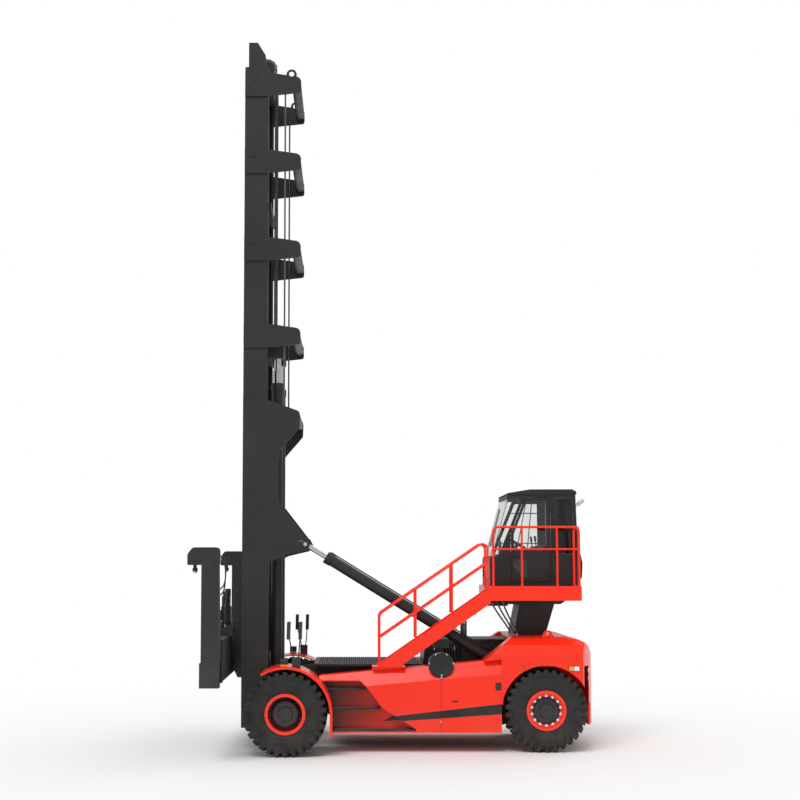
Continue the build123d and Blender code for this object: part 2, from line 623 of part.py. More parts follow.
save("door_glass", pane(DOOR_UPPER, 1), pane(DOOR_LOWER, 1))
sky = side_plate([(SKY_X0 - SEAT, CAB_TOP + 10), (SKY_X0 - SEAT, CAB_TOP + 18), (SKY_X1 + SEAT, CAB_TOP + 70),
                  (SKY_X1 + SEAT, CAB_TOP + 62)], SEAT - SKY_Y, SKY_Y - SEAT)
save("cab_glass", lean_pane(SCREEN_LOW + SEAT, SCREEN_HIGH - SEAT, 18, 26, -SCREEN_Y, SCREEN_Y),
     block(CAB_NOSE - 26, CAB_NOSE - 18, SEAT - TOE_Y, TOE_Y - SEAT, TOE_LOW + SEAT, TOE_HIGH - SEAT),
     pane(CORNER_PANE, 1), pane(CORNER_PANE, -1), pane(QUARTER, 1), pane(QUARTER, -1), pane(GUARDED, -1), sky,
     block(CAB_REAR + 34, CAB_REAR + 41, SEAT - REAR_PANE_Y, REAR_PANE_Y - SEAT, REAR_LOW + SEAT, REAR_HIGH - SEAT))

FLOOR_Z = PLATFORM_Z + 50
seat = fuse([
    block(-4740, -4300, -250, 250, 3160, 3290),
    block(-4680, -4380, -190, 190, FLOOR_Z, 3170),
    side_plate([(-4700, 3250), (-4830, 3980), (-4930, 3980), (-4820, 3250)], -240, 240),
    side_plate([(-4832, 3975), (-4855, 4130), (-4935, 4130), (-4928, 3975)], -130, 130)])
save("operator_seat", seat)

WHEEL_TILT = Location((-4100, 0, 3540), (0, -30, 0))
controls = block(-3880, -3740, -260, 260, FLOOR_Z, 3200) + bar((-3850, 0, 3150), (-4100, 0, 3540), 35)
controls += WHEEL_TILT * Torus(180, 16)
controls += WHEEL_TILT * Box(340, 40, 14)
save("cab_controls", controls)



def on_fender(shape):
    return shape - across(0, AXLE_Z, -FENDER_Y1 - 10, FENDER_Y1 + 10, FENDER_R + SEAT)


# Lamps: fender markers, tail lamps and work lamps behind the cab roof
WORK_LAMP_Y = 690
LAMP_ARM = [(-5030, 4175), (-5085, 4222), (-5195, 4306)]
lamps = []
for side in (1, -1):
    lamps.append(on_fender(block(-40, 90, 1880 * side, 1960 * side, 1465, 1605)))
    lamps.append(block(TAIL_LAMP_X - 50, TAIL_LAMP_X + 50, SIDE_Y * side, 1472 * side, 1370, 1450))
    foot, neck, head = [(x, WORK_LAMP_Y * side, z) for x, z in LAMP_ARM]
    work_lamp = bar(foot, neck, 16) + bar(neck, head, 36)
    lamps.append(work_lamp - cab_form(0, PLATFORM_Z, CAB_TOP))
save("lamps", *lamps)

# Mirrors: a foot box on each fender with two heads; foot x, head x
MIRROR_POSTS = [(-135, -50), (-215, -245)]
MIRROR_Y = 1900
MIRROR_LOW = 1925
MIRROR_HIGH = 2215
mirrors = []
for side in (1, -1):
    y0, y1 = sorted(((MIRROR_Y - 40) * side, (MIRROR_Y + 40) * side))
    h0, h1 = sorted(((MIRROR_Y - 100) * side, (MIRROR_Y + 90) * side))
    stand = on_fender(block(-250, -110, y0, y1, 1440, 1630))
    for foot_x, head_x in MIRROR_POSTS:
        stand += bar((foot_x, MIRROR_Y * side, 1620), (head_x, MIRROR_Y * side, MIRROR_LOW + 60), 10)
        stand += soft_plate([
            (head_x - 28, MIRROR_LOW, 12), (head_x - 34, MIRROR_HIGH, 14), (head_x + 24, MIRROR_HIGH, 14),
            (head_x + 30, MIRROR_LOW, 12)], h0, h1)
    mirrors.append(stand)
save("mirrors", *mirrors)

# Outer mast: two channels, yoke arms, cross pipes and the lower plates with the tilt lugs
outer_channel = plan_plate([
    (MAST_X0, 720), (MAST_X0 + 40, 720), (MAST_X0 + 40, MAST_Y - 30), (MAST_X1 - 40, MAST_Y - 30),
    (MAST_X1 - 40, 720), (MAST_X1, 720), (MAST_X1, MAST_Y), (MAST_X0, MAST_Y)], MAST_Z0, MAST_TOP)
save("mast_outer_uprights", outer_channel, right(outer_channel))

ARM_SEAMS = [11540, 10130, 8544, 6983]
BOSS_X = 655
EYE_X = -24
EYE_Z = ARM_SEAMS[0] + 395
arms = []
for seam in ARM_SEAMS:
    arm = soft_plate([
        (MAST_X1, seam, 6), (MAST_X1, seam + 430, 6), (MAST_X0, seam + 430, 60), (-197, seam + 345, 105),
        (-197, seam + 62, 50), (MAST_X0, seam, 60)], MAST_Y, MAST_Y + ARM_T)
    arm += across(BOSS_X, seam + 335, MAST_Y + ARM_T - 2, MAST_Y + ARM_T + 10, 48)
    if seam == ARM_SEAMS[0]:
        arm += across(EYE_X, EYE_Z, MAST_Y, MAST_Y + ARM_T, 92)
        arm -= across(EYE_X, EYE_Z + 10, MAST_Y - 5, MAST_Y + ARM_T + 5, 48)
    arms.append(arm)
lower_plate = soft_plate([
    (MAST_X1, 700, 6), (MAST_X1, 6086, 6), (MAST_X0, 6060, 40), (-197, 5850, 90), (-185, 5560, 60),
    (160, 5160, 150), (186, 4900, 200), (183, 4276, 200), (-310, 3640, 60), (-390, 3530, 60), (-320, 3420, 70),
    (75, 3327, 80), (330, 3200, 60), (350, 700, 6)], MAST_Y, MAST_Y + ARM_T)
tilt_lug = soft_plate([
    (MAST_X0, 3300, 6), (MAST_X0, 4020, 6), (-330, 3640, 70), (-395, 3500, 70), (-300, 3420, 60)], 720, 745)
lower_plate += tilt_lug + across(TILT_A[0], TILT_A[1], 720, MAST_Y + ARM_T + 12, 40)
arms.append(lower_plate)
save("mast_yoke_arms", *arms, *[right(a) for a in arms])

pipes = []
for seam in ARM_SEAMS + [5560]:
    pipes.append(across(PIPE_X, seam + 200, -MAST_Y, MAST_Y, PIPE_R))
save("mast_cross_pipes", *pipes)

foot = [
    block(300, MAST_X0, -870, 870, 700, 1000),
    block(110, MAST_X0, -590, 590, 1000, 1050)]
hinge_outline = [(310, 740), (310, 1090), (200, 1125), (90, 1110), (45, 1020), (90, 930), (200, 860)]
for side in (1, -1):
    foot.append(side_plate(hinge_outline, min(645 * side, 700 * side), max(645 * side, 700 * side)))
    foot.append(across(HINGE_X, HINGE_Z, 585 * side, 715 * side, HINGE_PIN_R))
save("mast_foot", fuse(foot), block(MAST_X0, MAST_X1, -720, 720, MAST_Z0, MAST_Z0 + 40))

STAGE_R = 84
ROD_R = 62
barrels = []
stages = []
rods = []
for side in (1, -1):
    y = RAM_Y * side
    barrel = bar((RAM_X, y, 1050), (RAM_X, y, RAM_TOP), 100)
    barrel += bar((RAM_X, y, RAM_TOP - 130), (RAM_X, y, RAM_TOP), 112)
    barrel += block(200, 250, y, 899.7 * side, 5880, 5940)
    barrel -= bar((RAM_X, y, 1090), (RAM_X, y, RAM_TOP + 10), STAGE_R + 0.5)
    barrels.append(barrel)
    stage = bar((RAM_X, y, 1330), (RAM_X, y, STAGE_TOP), STAGE_R)
    stage -= bar((RAM_X, y, 1370), (RAM_X, y, STAGE_TOP + 80), ROD_R + 0.5)
    stages.append(stage)
    rods.append(bar((RAM_X, y, 1590), (RAM_X, y, HEAD_Z), ROD_R))
save("lift_ram_barrels", *barrels)
save("lift_ram_stages", *stages)
save("lift_ram_rods", *rods)

HOSE_R = 15
hose_y = MAST_Y - HOSE_R - SEAT
hoses = [bar((88, hose_y * side, 5600), (88, hose_y * side, 11700), HOSE_R) for side in (1, -1)]
save("mast_hydraulic_lines", *hoses)

# Inner mast: channels with wear pads, ties, crossheads over the rams, sheaves and chains
inner_channel = plan_plate([
    (INNER_X0, 660), (INNER_X0 + 35, 660), (INNER_X0 + 35, INNER_Y - 30), (INNER_X1 - 35, INNER_Y - 30),
    (INNER_X1 - 35, 660), (INNER_X1, 660), (INNER_X1, INNER_Y), (INNER_X0, INNER_Y)], INNER_Z0, INNER_TOP)
inner_channel += block(520, 680, INNER_Y - 5, MAST_Y - 30.5, INNER_Z0 + 50, INNER_Z0 + 350)
inner_channel += block(520, 680, INNER_Y - 5, MAST_Y - 30.5, 2600, 2800)
inner_channel -= side_plate([(INNER_X0 - 10, 12300), (INNER_X0 - 10, 12600), (620, 12600)], 600, 900)
save("mast_inner_uprights", inner_channel, right(inner_channel))

TIE_X0 = 345
ties = [block(TIE_X0, INNER_X0, -710, 710, z, z + h) for z, h in ((1450, 150), (3900, 150), (9500, 150))]
crosshead = [block(TIE_X0, INNER_X0, -710, 710, HEAD_Z, HEAD_Z + 200)]
top_tie = [block(TIE_X0, INNER_X0, -710, 710, 11850, 12020), block(440, 560, -655, 655, 11850, 12020)]
for side in (1, -1):
    y0, y1 = sorted((370 * side, 600 * side))
    crosshead.append(block(120, TIE_X0 + 20, y0, y1, HEAD_Z, HEAD_Z + 200))
    for y in (CHAIN_Y - 50, CHAIN_Y + 35):
        c0, c1 = sorted((y * side, (y + 15) * side))
        top_tie.append(side_plate([(395, 12010), (515, 12010), (500, 12290), (410, 12290)], c0, c1))
    top_tie.append(across(SHEAVE_X, SHEAVE_Z, (CHAIN_Y - 50) * side, (CHAIN_Y + 50) * side, 30))
save("mast_inner_ties", *ties, fuse(crosshead), fuse(top_tie))

SHEAVE_R = 145
CHAIN_T = 40
sheaves = []
chains = []
for side in (1, -1):
    y0, y1 = sorted(((CHAIN_Y - 34) * side, (CHAIN_Y + 34) * side))
    c0, c1 = sorted(((CHAIN_Y - 25) * side, (CHAIN_Y + 25) * side))
    wheel = across(SHEAVE_X, SHEAVE_Z, y0, y1, SHEAVE_R - SEAT)
    sheaves.append(wheel - across(SHEAVE_X, SHEAVE_Z, y0 - 5, y1 + 5, 30 + SEAT))
    loop = across(SHEAVE_X, SHEAVE_Z, c0, c1, SHEAVE_R + CHAIN_T)
    loop -= across(SHEAVE_X, SHEAVE_Z, c0 - 5, c1 + 5, SHEAVE_R)
    loop -= block(SHEAVE_X - 300, SHEAVE_X + 300, c0 - 5, c1 + 5, SHEAVE_Z - 300, SHEAVE_Z)
    loop += block(SHEAVE_X + SHEAVE_R, SHEAVE_X + SHEAVE_R + CHAIN_T, c0, c1, 1900, SHEAVE_Z)
    loop += block(SHEAVE_X - SHEAVE_R - CHAIN_T, SHEAVE_X - SHEAVE_R, c0, c1, 5300, SHEAVE_Z)
    chains.append(loop)
save("chain_sheaves", *sheaves)
save("lift_chains", *chains)

# Carriage: roller plates, crossbeams, slide pads and the side-shift bores
SHIFT_X = 1000
SHIFT_Z = 2050
SHIFT_R = 35
ROLLER_X = (INNER_X0 + INNER_X1) / 2
ROLLER_R = (INNER_X1 - INNER_X0) / 2 - 35 - 0.5
carriage_parts = [
    block(880, 950, -600, 600, 1300, 1450),
    block(880, 950, -600, 600, 2380, 2530),
    block(655, 720, -570, 570, 1700, 1770)]
for side in (1, -1):
    y0, y1 = sorted((560 * side, 600 * side))
    carriage_parts.append(side_plate([
        (490, 1200), (900, 1200), (950, 1300), (950, 1980), (1065, 1990), (1065, 2110), (950, 2120), (950, 2600),
        (860, 2700), (490, 2700)], y0, y1))
    for z in (1380, 2540):
        carriage_parts.append(across(ROLLER_X, z, 590 * side, 660 * side, 60))
        carriage_parts.append(across(ROLLER_X, z, 660 * side, 780 * side, ROLLER_R))
    p0, p1 = sorted((300 * side, 560 * side))
    carriage_parts.append(block(945, BEAM_X0 - 0.5, p0, p1, 1320, 1430))
carriage = fuse(carriage_parts)
carriage -= bar((SHIFT_X, -700, SHIFT_Z), (SHIFT_X, 700, SHIFT_Z), SHIFT_R + SEAT)
save("carriage", carriage)

# Spreader: a double box beam, two telescopic arms, end legs with heads and twistlocks
MID_Z = (BEAM_Z0 + BEAM_Z1) / 2
CAV_X0 = BEAM_X0 + BEAM_WALL
CAV_X1 = BEAM_X1 - BEAM_WALL
CAVITIES = {1: (MID_Z + 7.5, BEAM_Z1 - BEAM_WALL), -1: (BEAM_Z0 + BEAM_WALL, MID_Z - 7.5)}
spreader = block(BEAM_X0, BEAM_X1, -BEAM_Y, BEAM_Y, BEAM_Z0, BEAM_Z1)
for z0, z1 in CAVITIES.values():
    spreader -= block(CAV_X0, CAV_X1, -BEAM_Y - 10, BEAM_Y + 10, z0, z1)
for side in (1, -1):
    y0, y1 = sorted((1040 * side, 1100 * side))
    spreader += side_plate([(BEAM_X0 - 30, BEAM_Z1 - 5), (BEAM_X0 - 50, 2110), (1060, 2110), (1120, BEAM_Z1 - 5)],
                           y0, y1) - block(900, BEAM_X0 - 31, -3000, 3000, 1900, 1951)
spreader += bar((SHIFT_X, -1100, SHIFT_Z), (SHIFT_X, 1100, SHIFT_Z), SHIFT_R)
TOWER_Z = 2420
VALVE_Z = 2600
spreader += block(1075, 1240, -145, 145, BEAM_Z1 - 5, TOWER_Z)
spreader += block(1090, 1225, -140, 140, TOWER_Z - 5, VALVE_Z)
# Filters on the valve block: x, y, radius, top
FILTERS = [(1130, -70, 48, 2735), (1130, 70, 48, 2735), (1190, 0, 30, 2690)]
for x, y, r, top in FILTERS:
    spreader += bar((x, y, VALVE_Z - 5), (x, y, top), r)
LINE_R = 14
LINE_Z = BEAM_Z1 + LINE_R - 2
RIB_T = 24
COLLAR = 12
for side in (1, -1):
    v0, v1 = sorted((330 * side, 520 * side))
    spreader += block(1110, 1230, v0, v1, BEAM_Z1 - 5, 2070)
    for x in (1140, 1190):
        spreader += bar((x, 500 * side, LINE_Z), (x, 2600 * side, LINE_Z), LINE_R)
    for y in (700, 1300, 1900):
        r0, r1 = sorted((y * side, (y + RIB_T) * side))
        spreader += block(BEAM_X1 - 2, BEAM_X1 + 16, r0, r1, BEAM_Z0, BEAM_Z1)
    e0, e1 = sorted((2640 * side, BEAM_Y * side))
    collar = block(BEAM_X0 - COLLAR, BEAM_X1 + COLLAR, e0, e1, BEAM_Z0 - COLLAR, BEAM_Z1 + COLLAR)
    spreader += collar - block(BEAM_X0 + 1, BEAM_X1 - 1, -3000, 3000, BEAM_Z0 + 1, BEAM_Z1 - 1)
save("spreader_beam", spreader)

FIT = 0.8
LEG_Y = 2800
LOCK_X = 1408
LOCK_Y = 2926.5
LEG_SEAMS = [3000, 3222]
for name, side in (("left", 1), ("right", -1)):
    z0, z1 = CAVITIES[side]
    y0, y1 = sorted((-1300 * side, LEG_Y * side))
    tube = block(CAV_X0 + FIT, CAV_X1 - FIT, y0, y1, z0 + FIT, z1 - FIT)
    tube -= block(CAV_X0 + 13, CAV_X1 - 13, y0 - 10, y1 + 10, z0 + 13, z1 - 13)
    save("spreader_arm_" + name, tube)
    l0, l1 = sorted((LEG_Y * side, SPREAD_Y * side))
    leg = side_plate([(1005, 1210), (1318, 1210), (1318, 1600), (1295, 1620), (1295, 3160), (1022, 3160),
                      (1005, 2000)], l0, l1)
    leg += soft_plate([(1014, 3157, 20), (1014, 3440, 60), (1440, 3440, 90), (FRONT_REACH, 3330, 60),
                       (FRONT_REACH, 3157, 20)], l0, l1)
    leg += bar((LOCK_X, LOCK_Y * side, 3110), (LOCK_X, LOCK_Y * side, 3160), 28)
    leg += bar((LOCK_X, LOCK_Y * side, 3060), (LOCK_X, LOCK_Y * side, 3112), 42)
    g0, g1 = sorted(((SPREAD_Y - 5) * side, (SPREAD_Y + 5) * side))
    for z in LEG_SEAMS:
        leg -= block(900, FRONT_REACH + 50, g0, g1, z - 5, z + 5)
    save("spreader_leg_" + name, leg)

# Tilt cylinders, drawn along the line from the frame pin to the mast pin
tilt_length = hypot(TILT_A[0] - TILT_B[0], TILT_A[1] - TILT_B[1])
tilt_dir = ((TILT_A[0] - TILT_B[0]) / tilt_length, (TILT_A[1] - TILT_B[1]) / tilt_length)
tilt_angle = degrees(atan2(tilt_dir[1], tilt_dir[0]))


def on_line(s):
    return (TILT_B[0] + tilt_dir[0] * s, TILT_Y, TILT_B[1] + tilt_dir[1] * s)


GLAND = tilt_length - 420
tilt_barrel = bar(on_line(150), on_line(GLAND), TILT_R) + bar(on_line(GLAND - 120), on_line(GLAND), TILT_R + 12)
tilt_barrel += across(TILT_B[0], TILT_B[1], 770, 850, 75)
tilt_barrel += bar(on_line(0), on_line(170), 39)
tilt_barrel -= across(TILT_B[0], TILT_B[1], 700, 920, TILT_PIN_R + SEAT)
tilt_barrel -= bar(on_line(1500), on_line(GLAND + 10), TILT_ROD_R + SEAT)
tilt_rod = bar(on_line(1800), on_line(tilt_length - 60), TILT_ROD_R) + across(TILT_A[0], TILT_A[1], 770, 850, 84)
tilt_rod -= across(TILT_A[0], TILT_A[1], 700, 900, 52)
FEED_R = 12
FEED_OUT = TILT_R + FEED_R + 6
feed_ends = []
for s in (420, GLAND - 60):
    x, y, z = on_line(s)
    feed_ends.append((x - tilt_dir[1] * FEED_OUT, y, z + tilt_dir[0] * FEED_OUT))
    tilt_barrel += bar((x - tilt_dir[1] * TILT_R * 0.9, y, z + tilt_dir[0] * TILT_R * 0.9),
                       (x - tilt_dir[1] * (FEED_OUT + FEED_R + 4), y, z + tilt_dir[0] * (FEED_OUT + FEED_R + 4)), 22)
tilt_barrel += bar(*feed_ends, FEED_R)
save("tilt_barrel_left", tilt_barrel)
save("tilt_barrel_right", right(tilt_barrel))
save("tilt_rod_left", tilt_rod)
save("tilt_rod_right", right(tilt_rod))
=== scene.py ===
import json
import math

import bpy
from mathutils import Matrix, Vector


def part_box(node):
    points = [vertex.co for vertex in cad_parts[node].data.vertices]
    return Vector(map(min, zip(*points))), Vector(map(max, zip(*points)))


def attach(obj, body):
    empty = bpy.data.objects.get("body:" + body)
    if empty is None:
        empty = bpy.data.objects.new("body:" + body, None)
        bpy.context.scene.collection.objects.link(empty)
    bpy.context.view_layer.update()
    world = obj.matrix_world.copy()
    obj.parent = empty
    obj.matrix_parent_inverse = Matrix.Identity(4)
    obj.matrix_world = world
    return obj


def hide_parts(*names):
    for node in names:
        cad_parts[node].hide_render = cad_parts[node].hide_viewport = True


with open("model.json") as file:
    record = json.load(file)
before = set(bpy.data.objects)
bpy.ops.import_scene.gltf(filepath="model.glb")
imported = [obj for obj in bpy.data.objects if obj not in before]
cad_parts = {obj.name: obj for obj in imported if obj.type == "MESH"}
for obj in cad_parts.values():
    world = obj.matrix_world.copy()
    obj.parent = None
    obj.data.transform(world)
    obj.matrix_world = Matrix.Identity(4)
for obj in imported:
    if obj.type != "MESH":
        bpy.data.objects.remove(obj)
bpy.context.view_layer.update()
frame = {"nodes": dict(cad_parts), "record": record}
nodes = frame["nodes"]
print("frame loaded:", len(nodes), "nodes")


def middleOf(node):
    low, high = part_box(node)
    return (low + high) / 2


frontAxle = middleOf("front_wheel_left")
rearAxle = middleOf("rear_wheel_left")


# Places of new pieces are given from the front axle: x forward, y left, z up
def at(x, y, z):
    return Vector((frontAxle.x + x, y, z))


# Camera

shot = {"distance": 26.0, "side": -1.100, "height": 3.13, "pitch": 5.05, "lens": 64.55, "sensor": 36,
        "shiftX": 0.0605, "shiftY": 0.05, "farthest": 500}


def setCamera():
    data = bpy.data.cameras.new("sideCamera")
    data.lens = shot["lens"]
    data.sensor_width = shot["sensor"]
    data.shift_x = shot["shiftX"]
    data.shift_y = shot["shiftY"]
    data.clip_end = shot["farthest"]
    camera = bpy.data.objects.new("sideCamera", data)
    camera.location = at(shot["side"], shot["distance"], shot["height"])
    camera.rotation_euler = (math.radians(90 + shot["pitch"]), 0, math.pi)
    bpy.context.scene.collection.objects.link(camera)
    bpy.context.scene.camera = camera


setCamera()
bpy.context.scene.view_settings.view_transform = "Standard"
print("camera set")


# Helpers for nodes and groups

def setInput(tree, socket, value):
    if isinstance(value, bpy.types.NodeSocket):
        tree.links.new(value, socket)
    else:
        socket.default_value = value


def addNode(tree, kind, links=None, **settings):
    node = tree.nodes.new("ShaderNode" + kind)
    for key, value in settings.items():
        setattr(node, key, value)
    for key, value in (links or {}).items():
        setInput(tree, node.inputs[key], value)
    return node


def calc(tree, operation, a, b=0.5, c=0.5, clamp=False):
    node = addNode(tree, "Math", {0: a, 1: b, 2: c}, operation=operation, use_clamp=clamp)
    return node.outputs[0]


def ramp(tree, value, low, high, toLow=0.0, toHigh=1.0):
    node = addNode(tree, "MapRange", {"Value": value, "From Min": low, "From Max": high,
                                      "To Min": toLow, "To Max": toHigh})
    return node.outputs["Result"]


def blendColour(tree, mask, first, second):
    first, second = [c if isinstance(c, bpy.types.NodeSocket) else (*c, 1) for c in (first, second)]
    node = addNode(tree, "Mix", {0: mask, 6: first, 7: second}, data_type="RGBA")
    return node.outputs[2]


def objectPlace(tree):
    return addNode(tree, "TexCoord").outputs["Object"]


def addNoise(tree, scale, detail, **more):
    links = {"Vector": objectPlace(tree), "Scale": scale, "Detail": detail, **more}
    return addNode(tree, "TexNoise", links).outputs["Fac"]


def newGroup(name, inputs, output):
    group = bpy.data.node_groups.new(name, "ShaderNodeTree")
    for label, value in inputs.items():
        socket = group.interface.new_socket(label, in_out="INPUT", socket_type="NodeSocketFloat")
        socket.default_value = value
    group.interface.new_socket(output, in_out="OUTPUT", socket_type="NodeSocketFloat")
    return group, group.nodes.new("NodeGroupInput").outputs


def endGroup(group, value):
    group.links.new(value, group.nodes.new("NodeGroupOutput").inputs[0])
    return group


def useGroup(tree, group, **values):
    node = tree.nodes.new("ShaderNodeGroup")
    node.node_tree = group
    for key, value in values.items():
        node.inputs[key.capitalize()].default_value = value
    return node.outputs[0]


# Shared effects: mottling of a sprayed coat, worn edges, dust from the ground, fine grain

effects = {"mottle": (0.3, 0.7), "edge": (0.98, 0.80), "chips": (0.52, 0.62), "dust": (0.35, 0.75)}


def makeMottle():
    group, given = newGroup("sprayMottle", {"Scale": 1.5}, "Mask")
    return endGroup(group, ramp(group, addNoise(group, given["Scale"], 5.0), *effects["mottle"]))


def makeEdgeWear():
    group, given = newGroup("edgeWear", {"Radius": 0.012, "Scale": 14.0, "Amount": 0.5}, "Mask")
    rounded = addNode(group, "Bevel", {"Radius": given["Radius"]}, samples=4)
    flat = addNode(group, "NewGeometry").outputs["Normal"]
    facing = addNode(group, "VectorMath", {0: rounded.outputs[0], 1: flat}, operation="DOT_PRODUCT")
    edge = ramp(group, facing.outputs["Value"], *effects["edge"])
    broken = ramp(group, addNoise(group, given["Scale"], 8.0), *effects["chips"])
    worn = calc(group, "MULTIPLY", edge, broken)
    return endGroup(group, calc(group, "MULTIPLY", worn, given["Amount"], clamp=True))


def makeGroundDust():
    group, given = newGroup("groundDust", {"Height": 1.2, "Amount": 0.4, "Scale": 3.0}, "Mask")
    height = addNode(group, "SeparateXYZ", {0: objectPlace(group)}).outputs["Z"]
    low = calc(group, "SUBTRACT", 1.0, calc(group, "DIVIDE", height, given["Height"]), clamp=True)
    patches = ramp(group, addNoise(group, given["Scale"], 7.0, Roughness=0.65), *effects["dust"])
    dusty = calc(group, "MULTIPLY", low, patches)
    return endGroup(group, calc(group, "MULTIPLY", dusty, given["Amount"], clamp=True))


def makeGrain():
    group, given = newGroup("fineGrain", {"Scale": 180.0}, "Height")
    return endGroup(group, addNoise(group, given["Scale"], 3.0))


mottleGroup = makeMottle()
wearGroup = makeEdgeWear()
dustGroup = makeGroundDust()
grainGroup = makeGrain()
print("shared effects made")


# Materials

dustColour = (0.30, 0.26, 0.21)


def startMaterial(name, fixed):
    material = bpy.data.materials.new(name)
    material.use_nodes = True
    shader = material.node_tree.nodes["Principled BSDF"]
    for key, value in fixed.items():
        shader.inputs[key].default_value = value
    return material, material.node_tree, shader


def feed(tree, shader, socket, value):
    tree.links.new(value, shader.inputs[socket])


def setBump(tree, shader, height, strength, distance):
    bump = addNode(tree, "Bump", {"Height": height, "Strength": strength, "Distance": distance})
    feed(tree, shader, "Normal", bump.outputs["Normal"])


def coatedColour(tree, look):
    return blendColour(tree, useGroup(tree, mottleGroup, scale=look["mottle"]), look["base"], look["shade"])


# What all coats share: scales of dust, chips and smears, and how dull the dust is
coat = {"dustScale": 2.5, "chipScale": 16.0, "smearScale": 6.0, "dustRough": 0.5, "grainDepth": 0.001}


def weathered(tree, shader, look, colour):
    dust = useGroup(tree, dustGroup, height=look["dustHeight"], amount=look["dust"], scale=coat["dustScale"])
    wear = useGroup(tree, wearGroup, radius=look["edge"], scale=coat["chipScale"], amount=look["wear"])
    colour = blendColour(tree, wear, colour, look["under"])
    feed(tree, shader, "Base Color", blendColour(tree, dust, colour, dustColour))
    smear = useGroup(tree, mottleGroup, scale=coat["smearScale"])
    sheen = ramp(tree, smear, 0.0, 1.0, look["rough"], look["rough"] + look["roughSpread"])
    dull = calc(tree, "MULTIPLY", dust, coat["dustRough"])
    feed(tree, shader, "Roughness", calc(tree, "ADD", sheen, dull, clamp=True))
    setBump(tree, shader, useGroup(tree, grainGroup, scale=look["grain"]), look["bump"], coat["grainDepth"])


redLook = {"base": (0.97, 0.030, 0.006), "shade": (0.92, 0.026, 0.005), "under": (0.30, 0.03, 0.02),
           "mottle": 0.8, "rough": 0.22, "roughSpread": 0.10, "edge": 0.008, "wear": 0.5, "dustHeight": 0.9,
           "dust": 0.25, "grain": 90.0, "bump": 0.05}
blackLook = {"base": (0.014, 0.014, 0.0145), "shade": (0.020, 0.020, 0.020), "under": (0.12, 0.12, 0.12),
             "mottle": 1.2, "rough": 0.38, "roughSpread": 0.16, "edge": 0.006, "wear": 0.5, "dustHeight": 1.6,
             "dust": 0.30, "grain": 240.0, "bump": 0.18}
mastLook = {"base": (0.019, 0.019, 0.0195), "shade": (0.026, 0.026, 0.026), "under": (0.16, 0.15, 0.14),
            "mottle": 0.7, "rough": 0.40, "roughSpread": 0.15, "edge": 0.010, "wear": 0.6, "dustHeight": 2.2,
            "dust": 0.20, "grain": 160.0, "bump": 0.15}
redGloss = {"Specular IOR Level": 0.25, "Coat Weight": 0.15, "Coat Roughness": 0.08}
darkGloss = {"Specular IOR Level": 0.35, "Coat Weight": 0.0, "Coat Roughness": 0.08}


def coated(name, look, gloss):
    material, tree, shader = startMaterial(name, gloss)
    weathered(tree, shader, look, coatedColour(tree, look))
    return material


bodyRed = coated("bodyRed", redLook, redGloss)
frameBlack = coated("frameBlack", blackLook, darkGloss)
mastGrey = coated("mastGrey", mastLook, darkGloss)

# The side panels carry a black band with a slanted front end; the left one has black treads in a recess whose
# wall carries painted shade, dark at the front and fading to red towards the rear
band = {"noseX": frontAxle.x - 1.636, "shoulderX": frontAxle.x - 1.805, "endX": frontAxle.x - 3.646,
        "noseLow": 0.510, "shoulderHigh": 0.612, "endLow": 0.648, "endHigh": 0.818, "outerY": 1.245}
recess = {"wallLow": 1.20, "wallHigh": 1.256, "darkX": frontAxle.x - 0.75, "redX": frontAxle.x - 1.75,
          "top": 1.19, "shade": (0.080, 0.014, 0.010), "treadY": 1.2505, "thick": 0.0285}
steps = [(-0.600, -1.350, 1.077), (-0.700, -1.600, 0.755), (-0.700, -2.180, 0.390)]  # front, rear, top


def bandMask(tree, x, y, z):
    low = ramp(tree, x, band["noseX"], band["endX"], band["noseLow"], band["endLow"])
    front = ramp(tree, x, band["noseX"], band["shoulderX"], band["noseLow"], band["shoulderHigh"])
    rise = ramp(tree, x, band["shoulderX"], band["endX"], 0.0, band["endHigh"] - band["shoulderHigh"])
    under = calc(tree, "LESS_THAN", z, calc(tree, "ADD", front, rise))
    inside = calc(tree, "MULTIPLY", under, calc(tree, "GREATER_THAN", z, low))
    outer = calc(tree, "GREATER_THAN", calc(tree, "ABSOLUTE", y), band["outerY"])
    return calc(tree, "MULTIPLY", inside, outer)


def treadMask(tree, x, y, z):
    mask = calc(tree, "GREATER_THAN", y, recess["treadY"])
    found = 0.0
    for _, rear, top in steps:
        near = calc(tree, "COMPARE", z, top - recess["thick"] / 2, recess["thick"] / 2 + 0.001)
        ahead = calc(tree, "GREATER_THAN", x, frontAxle.x + rear - 0.003)
        found = calc(tree, "ADD", calc(tree, "MULTIPLY", near, ahead), found, clamp=True)
    return calc(tree, "MULTIPLY", mask, found)


# Painted shade on the recess wall below its top: the dark colour is strongest at the front and fades back
# into the red coat
def recessMask(tree, x, y, z):
    middle = (recess["wallLow"] + recess["wallHigh"]) / 2
    wall = calc(tree, "COMPARE", y, middle, recess["wallHigh"] - middle)
    below = calc(tree, "LESS_THAN", z, recess["top"])
    inside = calc(tree, "MULTIPLY", wall, below)
    return calc(tree, "MULTIPLY", inside, ramp(tree, x, recess["redX"], recess["darkX"]))


def makePanelRed():
    material, tree, shader = startMaterial("panelRed", redGloss)
    x, y, z = addNode(tree, "SeparateXYZ", {0: objectPlace(tree)}).outputs
    # The recess wall gets its painted shade here
    colour = blendColour(tree, recessMask(tree, x, y, z), coatedColour(tree, redLook), recess["shade"])
    black = calc(tree, "MAXIMUM", bandMask(tree, x, y, z), treadMask(tree, x, y, z))
    weathered(tree, shader, redLook, blendColour(tree, black, colour, blackLook["base"]))
    return material


